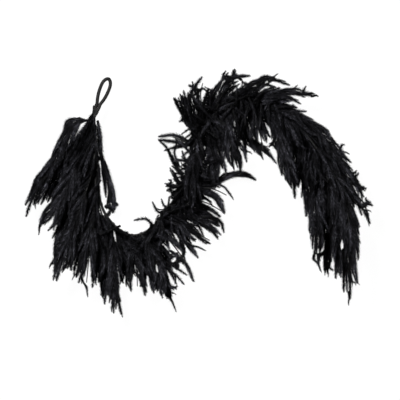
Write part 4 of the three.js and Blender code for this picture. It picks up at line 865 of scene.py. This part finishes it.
lone(36, 1.00, (164, 250, 60), (198, 281, 68), (232, 295, 73))
lone(36, 0.84, (296, 276, 77), (298, 282, 77), (303, 293, 77), (306, 298, 77))
lone(36, 0.65, (321, 271, 79), (324, 271, 79), (335, 275, 79), (340, 272, 79))
lone(36, 0.50, (268, 279, 75), (274, 290, 75), (280, 300, 75), (284, 303, 75))
lone(36, 0.61, (321, 271, 79), (325, 271, 79), (335, 274, 79), (340, 272, 79))
lone(37, 0.90, (170, 183, 50), (187, 147, 49), (190, 110, 49))
lone(37, 1.00, (159, 233, 52), (187, 191, 50), (198, 147, 49))
lone(37, 1.00, (142, 239, 48), (159, 194, 46), (170, 147, 45))
lone(37, 1.00, (136, 228, 43), (145, 194, 41), (153, 155, 40))
lone(37, 1.00, (153, 217, 51), (164, 183, 50), (173, 149, 49))
lone(38, 0.90, (439, 49, 92), (467, 9, 92), (489, -35, 91))
lone(38, 0.90, (433, 4, 90), (461, -35, 89), (484, -80, 89))
lone(38, 1.00, (366, 166, 91), (408, 124, 94), (436, 91, 96))
lone(38, 1.00, (388, 138, 91), (430, 93, 94), (456, 49, 95))
lone(38, 1.00, (414, 99, 92), (450, 57, 93), (472, 12, 93))
lone(38, 1.00, (425, 77, 90), (458, 32, 91), (478, -13, 90))
lone(38, 0.50, (394, 119, 95), (407, 117, 95), (419, 115, 95), (426, 111, 95))
lone(38, 1.00, (449, 9, 86), (454, 12, 86), (464, 18, 86), (471, 15, 86))
lone(38, 1.00, (462, -37, 92), (468, -35, 92), (481, -28, 92), (489, -32, 92))
lone(38, 1.00, (464, -31, 84), (468, -29, 84), (478, -24, 84), (484, -23, 84))
lone(38, 0.55, (461, -42, 90), (470, -45, 90), (482, -46, 90), (487, -50, 90))
lone(38, 0.50, (471, -29, 84), (474, -42, 84), (478, -63, 84), (481, -78, 84))
lone(38, 1.00, (397, 113, 96), (401, 124, 96), (405, 135, 96), (410, 136, 96))
lone(38, 0.50, (398, 120, 92), (411, 117, 92), (421, 113, 92), (425, 111, 92))
lone(38, 1.00, (425, 55, 84), (431, 56, 84), (442, 58, 84), (446, 62, 84))
lone(38, 1.00, (433, 32, 90), (441, 43, 90), (447, 52, 90), (451, 55, 90))
lone(38, 0.84, (479, -30, 84), (482, -25, 84), (474, -18, 84), (474, -12, 84))
lone(38, 0.50, (470, -45, 90), (479, -55, 90), (480, -75, 90), (482, -89, 90))
lone(39, 0.90, (271, 71, 68), (285, 35, 69), (288, -5, 69))
lone(39, 0.90, (251, 93, 66), (262, 57, 67), (267, 18, 67))
lone(39, 1.00, (187, 245, 55), (206, 203, 61), (218, 161, 67))
lone(39, 1.00, (204, 233, 51), (223, 189, 60), (234, 144, 65))
lone(39, 1.00, (226, 144, 69), (240, 99, 71), (240, 54, 72))
lone(39, 1.00, (240, 121, 68), (254, 79, 70), (257, 37, 71))
lone(39, 0.99, (235, 121, 67), (225, 128, 67), (214, 138, 67), (207, 133, 67))
lone(39, 1.00, (222, 156, 61), (220, 152, 61), (215, 143, 61), (210, 141, 61))
lone(39, 1.00, (261, 13, 69), (272, 0, 69), (282, 3, 69), (287, 2, 69))
lone(40, 0.90, (430, 15, 58), (450, -19, 57), (464, -58, 57))
lone(40, 0.90, (439, -19, 56), (453, -63, 55), (460, -105, 54))
lone(41, 0.90, (313, -24, 30), (321, -63, 31), (321, -108, 31))
lone(41, 0.90, (302, 15, 28), (310, -19, 28), (310, -61, 29))
lone(41, 1.00, (265, 71, 26), (276, 26, 26), (279, -10, 26))
lone(41, 1.00, (254, 227, 46), (262, 237, 46), (269, 244, 46), (272, 248, 46))
lone(42, 0.90, (447, -97, 17), (456, -139, 17), (458, -184, 17))
lone(43, 0.90, (436, -159, 113), (442, -203, 108), (447, -245, 105))
lone(43, 0.85, (425, -192, 108), (428, -243, 103), (428, -290, 103))
lone(43, 0.51, (441, -175, 110), (453, -182, 110), (462, -188, 110), (464, -193, 110))
lone(43, 0.50, (443, -212, 103), (445, -225, 103), (448, -241, 103), (453, -251, 103))
lone(44, 0.90, (335, -97, 65), (335, -139, 66), (330, -184, 68))
lone(44, 0.94, (328, -172, 65), (326, -184, 65), (340, -187, 65), (343, -196, 65))
lone(44, 0.64, (331, -168, 65), (328, -181, 65), (344, -197, 65), (347, -213, 65))
lone(44, 0.82, (344, -167, 60), (343, -179, 60), (342, -193, 60), (343, -201, 60))
lone(44, 0.52, (339, -166, 65), (341, -179, 65), (345, -201, 65), (351, -218, 65))
lone(45, 0.90, (414, -181, 34), (416, -229, 35), (416, -273, 35))
lone(45, 0.79, (401, -212, 19), (402, -226, 19), (403, -236, 19), (399, -241, 19))
lone(45, 0.65, (428, -244, 32), (433, -246, 32), (446, -248, 32), (450, -255, 32))
lone(45, 0.50, (430, -274, 35), (433, -288, 35), (430, -302, 35), (430, -312, 35))
lone(45, 0.50, (442, -221, 33), (446, -233, 33), (450, -246, 33), (453, -252, 33))
lone(45, 0.50, (439, -238, 30), (440, -243, 30), (441, -253, 30), (441, -259, 30))
lone(45, 0.50, (428, -276, 35), (431, -292, 35), (429, -305, 35), (430, -312, 35))
lone(46, 0.90, (400, -145, 78), (405, -187, 75), (405, -231, 72))
lone(46, 0.90, (388, -147, 76), (391, -189, 73), (391, -234, 70))
lone(47, 0.90, (369, -136, 7), (372, -181, 7), (372, -223, 7))
lone(47, 0.90, (352, -131, 16), (352, -175, 14), (349, -217, 8))
lone(47, 1.00, (365, -160, 14), (355, -171, 14), (347, -180, 14), (350, -186, 14))
lone(47, 0.50, (369, -204, 7), (373, -217, 7), (375, -229, 7), (374, -234, 7))
lone(47, 0.52, (363, -202, 5), (364, -207, 5), (365, -221, 5), (365, -229, 5))
lone(47, 1.00, (366, -194, 11), (374, -203, 11), (381, -211, 11), (385, -214, 11))
# branchlets pruned away, by spray
PRUNED = {
    1: (8, 12, 14, 15, 18, 22, 26, 28, 35, 39, 41, 42, 43, 45, 49, 50, 52, 55, 59, 61, 62, 63, 64, 67, 69, 74, 75,
        76, 77, 79, 81, 83, 85, 86, 91,),
    2: (1, 2, 3, 4, 8, 14, 22, 28, 30, 37, 41, 43, 44, 46, 48, 49, 50, 51, 56, 59, 60, 62, 63, 64, 66, 72, 76,),
    3: (1, 3, 5,),
    4: (0, 1, 2, 3, 7, 9, 11, 18, 39, 41, 43, 44, 47, 48, 54, 58, 59, 60, 62, 66, 71, 73, 74, 75, 78, 81, 85, 86,
        91, 93,),
    5: (1, 2, 4, 5, 9, 11, 13, 16, 33, 40, 42, 47, 51, 52, 54, 64, 65, 66, 67, 70, 72, 73, 74, 75, 78, 80, 81, 82,
        83, 84, 86, 87, 88, 91, 92, 94,),
    6: (0, 1, 3, 4, 5, 6, 7, 8, 9, 11, 13, 15, 23, 43, 45, 47, 49, 53, 56, 58, 59, 63, 65, 71, 75, 79, 80, 81, 83,
        85, 87, 88, 91, 94, 96, 97, 98,),
    7: (1, 4, 6, 7, 11, 15, 25, 29, 31, 33, 38, 44, 46, 52, 55, 57, 60, 62, 69, 70, 71, 72, 73, 74, 79, 80, 83, 87,
        88, 90, 91, 92, 93, 94, 95,),
    8: (0, 1, 2, 3, 5, 7, 8, 9, 11, 12, 13, 15, 17, 22, 24, 31, 34, 35, 37, 38, 39, 40, 41, 42, 43, 44, 45, 47, 48,
        49, 54, 58, 61, 63, 64, 67, 69, 72, 73, 75, 76, 78, 79, 81, 84, 85, 88, 94, 96, 97,),
    9: (0, 1, 2, 3, 4, 6, 7, 8, 10, 26, 36, 38, 40, 41, 42, 45, 46, 47, 49, 51, 52, 53, 55, 56, 57, 58, 59, 60, 62,
        64, 65, 66, 67, 68, 69, 70, 71, 72, 73, 74, 75, 77, 78, 79,),
    10: (0, 1, 2, 3, 11, 20, 31, 35, 39, 40, 41, 42, 43, 44, 47, 48, 49, 50, 51, 52, 53, 55, 56, 57, 58, 61, 64, 66,
        67, 68, 71, 75, 78, 80, 82, 83,),
    11: (1, 3, 5, 6, 7, 8, 12, 14, 15, 17, 19, 21, 23, 25, 27, 29, 30, 33, 34, 35, 36, 37, 38, 39, 42, 44, 45, 48,
        49, 50, 52, 53, 55, 57, 58, 59, 60, 61, 62, 63, 64, 67, 68, 70, 72, 73, 74, 76, 77, 78, 80, 82, 84, 85, 90,),
    12: (0, 2, 3, 4, 5, 6, 7, 13, 15, 21, 22, 23, 25, 26, 29, 30, 31, 32, 33, 34, 36, 37, 38, 39, 43, 44, 45, 46,
        47, 48, 49, 54, 55, 56, 58, 60, 61, 62, 66, 67,),
    13: (0, 1, 4, 8, 10, 14, 16, 18, 19, 20, 22, 23, 24, 25, 30, 32, 38, 40, 44, 45, 49, 54, 55, 56, 61,),
    14: (1, 2, 8, 9, 12, 14, 18, 20, 22, 29, 30, 33, 36, 41, 42, 43, 44, 45, 46, 47, 49, 51, 52, 54, 55, 56,),
    15: (0, 4, 19, 21, 22, 23, 24, 28, 29, 33, 39, 44, 45, 46, 47, 48, 49, 53, 54, 55, 57, 58, 61, 62, 63, 66,),
    16: (0, 2, 3, 7, 8, 11, 15, 17, 19, 21, 23, 25, 27, 29, 33, 34, 35, 37, 42, 43, 45, 47, 50, 51, 52, 54, 58, 61,
        62, 64, 68, 69, 71, 72, 74, 75, 76, 79,),
    17: (2, 4, 6, 7, 8, 9, 10, 11, 12, 13, 14, 15, 16, 17, 18, 19, 20, 21, 22, 23, 24, 25, 28, 30, 31, 32, 36, 42,
        44, 47, 50, 53, 55, 56, 58, 59, 60, 61, 62, 64, 65, 67, 68, 70,),
    18: (8, 10, 11, 12, 14, 15, 16, 17, 18, 21, 25, 27, 30, 31, 32, 38, 39, 42, 43, 44, 45, 47, 52, 53, 54, 56, 57,
        58,),
    19: (0, 1, 2, 4, 5, 7, 8, 11,),
    20: (2, 10, 12, 13, 15, 16, 17, 18, 19, 20, 21, 22, 24, 25, 29, 31, 35, 37, 41, 49, 51, 53, 54, 55, 57, 59, 60,
        62,),
    21: (0, 8, 11, 15, 16, 19, 20, 21, 23, 27, 29, 34, 37, 41, 43, 45, 46, 47, 50, 51, 60,),
    22: (3, 7, 9, 10, 11, 12, 13, 14, 15, 16, 17, 18, 19, 20, 22, 24, 26, 29, 30, 32, 35, 37, 39, 40, 42, 47, 48,
        49, 51, 54, 55, 56, 58, 59, 60, 61,),
    23: (1, 2, 3, 4, 5, 7, 10, 11, 12, 13, 18, 19, 20,),
    24: (1, 3, 7, 8, 9, 10, 11, 12, 13, 14, 15, 16, 17, 18, 23, 28, 30, 32, 33, 36, 37, 38, 45, 47, 53, 54, 55, 56,
        57, 59, 61, 62,),
    25: (2, 4, 6, 7, 8, 11, 15, 16, 17, 18, 19, 20, 22, 25, 26, 27, 28, 29, 32, 33, 36, 37, 38, 40,),
    26: (1, 4, 5, 7, 8, 13, 18, 22,),
    27: (1, 5, 6, 9, 10, 11, 15, 17, 21, 22, 23,),
    28: (1, 8, 9, 11, 13, 15, 18, 19, 20, 21, 23, 25, 26, 28, 29, 31, 33, 36, 37, 38, 41, 46, 47, 48, 52, 53, 54,
        56, 58,),
    29: (2, 6, 8, 15, 19, 20, 22, 23, 24, 25, 26, 28, 31, 34, 36, 38, 44, 45, 46, 50, 58, 59, 60, 61, 63, 64, 65,
        70, 72, 73, 74, 76, 78, 80, 82,),
    30: (7, 8, 9, 10, 11, 12, 13, 14, 15, 16, 20, 24, 25, 26, 27, 28, 29, 30, 34, 35, 38, 41, 48, 50, 52, 53, 54,
        55, 56, 58, 60, 61, 68, 72,),
    31: (5, 25, 29, 31, 34, 35, 38, 42, 43, 44, 45, 47, 48, 50, 53, 58, 59, 60, 62, 68, 71, 74, 76, 78, 82,),
    32: (5, 6, 7, 8, 9, 10, 11, 12, 15, 16, 17, 18, 22, 23, 25, 26, 29, 34, 36, 41, 42,),
    33: (5, 19, 22, 25, 26, 28, 29, 31, 32, 39, 42, 44, 46, 47, 48, 50, 51, 54, 55, 58, 59, 60, 62, 64, 69, 71,),
    34: (2, 8, 9, 10, 12, 13, 14, 16, 17, 18, 27, 28, 29, 31, 32, 33, 36, 39, 40, 41,),
    35: (2, 4, 9, 13, 14, 17, 20, 22, 24, 25, 26, 27, 28, 29, 30, 35, 42, 45, 46, 50, 53, 55, 57, 59, 63, 65, 66,
        68, 73, 75, 77, 82,),
    36: (12, 14, 16, 18, 20, 21, 22, 23, 24, 25, 30, 33, 36, 37, 38, 39, 40, 43, 44, 46, 48, 49, 52, 53, 56, 58, 59,
        60, 63, 64, 65, 67, 69, 71, 72, 74,),
    37: (4, 6, 8, 9, 10, 11, 12, 13, 14, 15, 16, 17, 19, 26, 27, 29, 34, 35, 38, 41, 44, 45, 47, 50, 51, 52, 53, 59,
        60, 61,),
    38: (2, 7, 11, 12, 23, 27, 34, 42, 50, 52, 54, 56, 57, 59, 66, 67, 68, 72, 74, 76, 80, 82, 87, 88, 90, 91, 94,
        96, 98, 100, 102, 103, 104, 106, 108, 110, 111, 114, 116, 117, 119, 120, 121, 122,),
    39: (4, 8, 16, 20, 27, 28, 33, 34, 36, 37, 39, 41, 45, 46, 47, 48, 49, 50, 51, 55, 58, 59, 60, 69, 71, 74, 75,
        78, 79, 81, 89,),
    40: (0, 5, 9, 10, 12, 13, 14, 16, 21, 22, 26, 28, 30, 31, 32, 36, 37, 38, 39, 41, 43, 44, 45, 47, 48, 49, 50,
        52, 53, 54, 56, 57, 58, 60, 62, 63, 64, 65, 66, 69, 70, 71, 75, 77, 78, 79, 80, 81, 82, 83, 84, 86, 88, 89,
        90, 91, 95, 96, 97, 98, 99, 100, 102, 103, 104, 106, 108, 109, 110, 111, 112, 113, 114, 117,),
    41: (0, 1, 2, 8, 26, 28, 30, 34, 36, 38, 40, 42, 49, 52, 54, 55, 59, 60, 61, 62, 64, 65, 67, 69, 71, 72, 73, 74,
        78, 79, 83, 85, 86, 87, 90, 92, 93, 95, 96, 98,),
    42: (1, 2, 3, 6, 7, 11, 15, 16, 19, 22, 24, 25, 26, 33, 34, 35, 39, 47, 48, 49, 50, 55, 56, 57, 59, 60, 63, 64,
        65, 66, 69, 70, 71, 73, 74, 75, 76, 77, 78, 79, 81, 83, 84, 85, 86, 87, 88, 89, 90, 91, 93, 94, 95, 97, 99,
        101, 102, 103, 105, 106, 107, 108, 109, 110, 111,),
    43: (0, 3, 4, 5, 6, 7, 8, 9, 16, 18, 19, 21, 22, 23, 25, 26, 32, 35, 36, 37, 39, 41, 43, 45, 47, 49, 50, 51, 54,
        55, 56, 57, 58, 59, 60, 64, 65, 67, 68, 69, 70, 71, 72, 73, 77, 79, 81, 82, 83, 86, 87, 89, 90, 92, 94, 95,
        96, 97, 98, 99, 101, 102, 106, 107, 110, 111, 113, 117,),
    44: (1, 3, 5, 7, 36, 40, 42, 44, 48, 49, 52, 53, 54, 55, 56, 59, 60, 61, 65, 66, 68, 73, 74, 78, 86, 90, 92, 93,
        96, 97, 98, 99, 101, 104,),
    45: (0, 4, 6, 9, 14, 17, 18, 19, 20, 23, 34, 38, 40, 42, 49, 50, 51, 57, 60, 61, 62, 63, 64, 66, 67, 68, 70, 71,
        72, 74, 76, 77, 78, 79, 80, 84, 88, 89, 90, 91, 93, 96, 97, 99, 100, 102, 104, 106, 107, 109, 110, 112,
        115,),
    46: (2, 5, 6, 10, 13, 21, 22, 26, 27, 33, 35, 37, 39, 40, 41, 42, 43, 44, 45, 47, 49, 51, 53, 54, 57, 58, 59,
        61, 62, 66, 68, 69, 70, 71, 72, 73, 74, 76, 77, 79, 80, 82, 84, 85, 86, 88, 90, 91, 92, 94, 96, 99, 100,),
    47: (2, 4, 19, 30, 32, 36, 38, 40, 42, 45, 47, 48, 49, 51, 52, 53, 54, 55, 56, 58, 60, 61, 62, 63, 64, 68, 71,
        72, 74, 80, 82, 88, 93,),
}

total_faces = 0
for index, (section, width, depth, path) in enumerate(SPRAYS):
    name = f"spray_{index + 1:02d}"
    r = np.random.default_rng(500 + index)
    fine = catmull(np.array(path, float), 14)
    dist = arc(fine)
    L = dist[-1]
    tt = dist / L

    def along(t):
        t = np.asarray(t, float)
        p = np.stack([np.interp(np.clip(t, 0, 1), tt, fine[:, k]) for k in range(3)], -1)
        end = unit(fine[-1] - fine[-5])
        return p + np.clip(t - 1, 0, None)[..., None] * L * end

    def heading(t):
        d = along(np.asarray(t) + 0.01) - along(np.asarray(t) - 0.01)
        d[..., 2] *= 0.3
        return unit(d)

    skin = Skin()
    grow = Fingers(skin, 9000 + index, PRUNED.get(index + 1, ()))
    # taped stem, then the rachis
    k = max(8, int(L / 6))
    u = np.linspace(0, 0.55 if index + 1 in SPARSE else 0.94, k)
    skin.tube(along(u), 2.3 * (1 - u * 0.45), sides=7, mat=1)
    droop = DROOP.get(index + 1, (0.03, -0.50) if section <= 3 else (0.0, -0.34) if section >= 8 else (0.0, -0.20))
    count, stout = SPARSE.get(index + 1, (None, 1.0))
    n_f = count or int(np.clip(round(L / 280 * FINGERS), 9, FINGERS + 6))
    starts = np.linspace(0.02, 0.80, n_f) + r.uniform(-0.02, 0.02, n_f)
    for i, ts in enumerate(starts):
        ts = max(ts, 0.01)
        reach_mm = r.uniform(0.7, 1.2) * (86 if L > 200 else 68 if L > 120 else 54)
        te = min(ts + reach_mm / L, 0.99 + r.uniform(-0.07, 0.02))
        if te - ts < 0.12:
            te = ts + 0.12 + 20 / L * 0.5
        sgn = 1 if i % 2 else -1
        U = sgn * r.uniform(0.25, 1.0) ** 0.8
        V = r.uniform(0.45, 1) if r.random() < 0.38 else r.uniform(-1, 0.25)
        j = np.linspace(0, 1, 12)
        t = ts + (te - ts) * j
        g = 1 - (1 - j) ** 1.7
        a = span(np.clip(t, 0, 1), width) / 2 - 2.5
        b = np.maximum(span(np.clip(t, 0, 1), depth) / 2 - 2.5, 1)
        # a branchlet that leaves near the stem opens out sooner than the plume does
        a = np.maximum(a, (width / 2 - 3) * 0.55 * g)
        b = np.maximum(b, (depth / 2 - 3) * 0.55 * g)
        h = heading(t)
        h[:, 2] = 0
        h = unit(h)
        side = np.stack([-h[:, 1], h[:, 0], np.zeros(len(j))], -1)
        p = along(t) + side * (U * a * g)[:, None]
        p[:, 2] += V * b * g + r.uniform(-7, 7) * j
        bow = r.uniform(-1, 1) * 0.13 * (te - ts) * L
        p += side * (bow * np.sin(np.pi * j))[:, None]
        pull = (te - ts) * L * j**2 * r.uniform(0.6, 1.3)
        away = 1 - np.clip(h[:, 0] * droop[0] + h[:, 1] * droop[1], 0, 1) / (np.hypot(*droop) + 1e-6)
        p[:, 0] += droop[0] * pull * away
        p[:, 1] += droop[1] * pull * away
        # a branchlet set high in the plume gets the paler painted light, a low one the darker painted shade
        grow.grow(p, thick=stout * r.uniform(0.88, 1.1), over=V > 0.3)
    # the rachis ends in a finger of its own
    grow.grow(along(np.linspace(0.72, 0.99, 12)), thick=stout)
    # short branchlets round the tie, leaning the spray's way, and a few over the back of the core
    base = np.array(path[0], float)
    s_base = core_d[np.argmin(np.linalg.norm(core - base, axis=1))]
    h0 = unit((fine[40] - fine[0]) * np.array([1, 1, 0]))
    side_of = lambda s: np.stack([-core_tan(s)[..., 1], core_tan(s)[..., 0], np.zeros(np.shape(s))], -1)
    hand = np.sign(side_of(np.array(s_base)) @ h0)
    fore = np.sign(core_tan(np.array(s_base)) @ h0 + 1e-6)
    steep = abs(core_tan(np.array(s_base)) @ h0) < 0.35
    for i in range(FEW_BASAL.get(index + 1, BASAL)):
        s_a = np.clip(s_base + r.uniform(-24, 24), 16 if section == 1 else 4, CORE_L - 4)
        back = r.random() < BACK_SHARE[section - 1]
        lean = r.uniform(0.25, 1.0) * (-BACK_LEAN[section - 1] if back else 1.0)
        way = fore if not steep or r.random() < 0.5 else -fore
        run = r.uniform(44, 80) * (0.75 if back else 1.0)
        d0 = unit(np.array([way * r.uniform(0.35, 1.0), lean, r.uniform(-0.38, 0.5)]))
        j = np.linspace(0, 1, 10)
        s_j = np.clip(s_a + d0[0] * run * j, 8, CORE_L)
        p = core_at(s_j) + side_of(s_j) * (hand * (d0[1] * run * j + r.uniform(0, 4)))[:, None]
        p[:, 2] += d0[2] * run * j + r.uniform(-4, 4)
        p += h0 * (0.0 if back else 0.22 * run) * (j**2)[:, None]
        p[:, 0] += droop[0] * 0.6 * run * j**2
        p[:, 1] += droop[1] * 0.6 * run * j**2
        p[:, 2] = np.clip(p[:, 2], 5, 106)
        grow.grow(p, thick=r.uniform(0.85, 1.05))
    # loose branchlets tangled over and under the core along the rising leg
    for i in range(TANGLE[section - 1]):
        s_a = s_base + r.uniform(-26, 26)
        across = r.uniform(-0.75, 1.0)
        run = r.uniform(46, 78) * (0.7 if across < 0 else 1.0)
        d0 = unit(np.array([r.uniform(-1, 1) * 0.8, across, 0]))
        z0 = r.uniform(-28, 34)
        j = np.linspace(0, 1, 10)
        s_j = np.clip(s_a + d0[0] * run * j, 8, CORE_L)
        p = core_at(s_j) + side_of(s_j) * (hand * (d0[1] * run * (j - 0.12) + r.uniform(-10, 10)))[:, None]
        p[:, 2] += z0 * np.sin(np.pi * (0.25 + 0.6 * j)) + r.uniform(-5, 5)
        p += unit(np.array([r.normal(), r.normal() - 0.6, 0])) * (0.20 * run * j**2)[:, None]
        p[:, 2] = np.clip(p[:, 2], 6, 104)
        grow.grow(p, thick=r.uniform(0.85, 1.05))
    # short branchlets that splay out along both edges
    for i in range(0 if count else int(round(L / 280 * BARBS))):
        ts = r.uniform(0.12, 0.80)
        u0 = (1 if i % 2 else -1) * r.uniform(0.25, 0.85)
        h = heading(np.array(ts))
        h = unit(h * np.array([1, 1, 0]))
        side = np.array([-h[1], h[0], 0])
        a = span(ts, width) / 2
        run = min(r.uniform(32, 54), (1.0 - ts) * L)
        splay = np.tan(np.radians(r.uniform(8, 34))) * np.sign(u0)
        d0 = unit(h + side * splay + np.array([0, 0, r.uniform(-0.3, 0.35)]))
        j = np.linspace(0, 1, 9)
        p = along(np.array(ts)) + side * (u0 * a * 0.45) + d0 * (run * j)[:, None] + h * (0.10 * run * j**2)[:, None]
        V = r.uniform(-1, 1)
        p[:, 2] += V * span(ts, depth) / 2 * 0.7
        p[:, 0] += droop[0] * 0.5 * run * j**2
        p[:, 1] += droop[1] * 0.5 * run * j**2
        # a branchlet set high in the plume gets the paler painted light, a low one the darker painted shade
        grow.grow(p, thick=stout * r.uniform(0.85, 1.05), over=V > 0.1)
    for thick, pts in EXTRA.get(index + 1, []):
        grow.grow(catmull(pts, 10), thick=thick * 1.3)
    # tie: two turns of tape round the core and the stem
    u = np.linspace(0, 1, 44)
    s = s_base + 5.0 * (u - 0.5)
    ang = u * 2 * 2 * np.pi
    t_ = core_tan(s)
    sd = unit(np.cross(np.array([0, 0, 1.0]), t_))
    tp = np.cross(t_, sd)
    off = base - core_at(s_base)
    pts = core_at(s) + off * 0.28 + sd * (6.3 * np.cos(ang))[:, None] + tp * (6.3 * np.sin(ang))[:, None]
    skin.tube(pts, 1.0, sides=6, mat=1)
    piece = skin.build(name + "_needles", [needle_mat, stem_mat], smooth=False)
    total_faces += len(piece.data.polygons)
    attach(piece, f"section_{section}")
    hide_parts(name)
print("spray faces", total_faces)

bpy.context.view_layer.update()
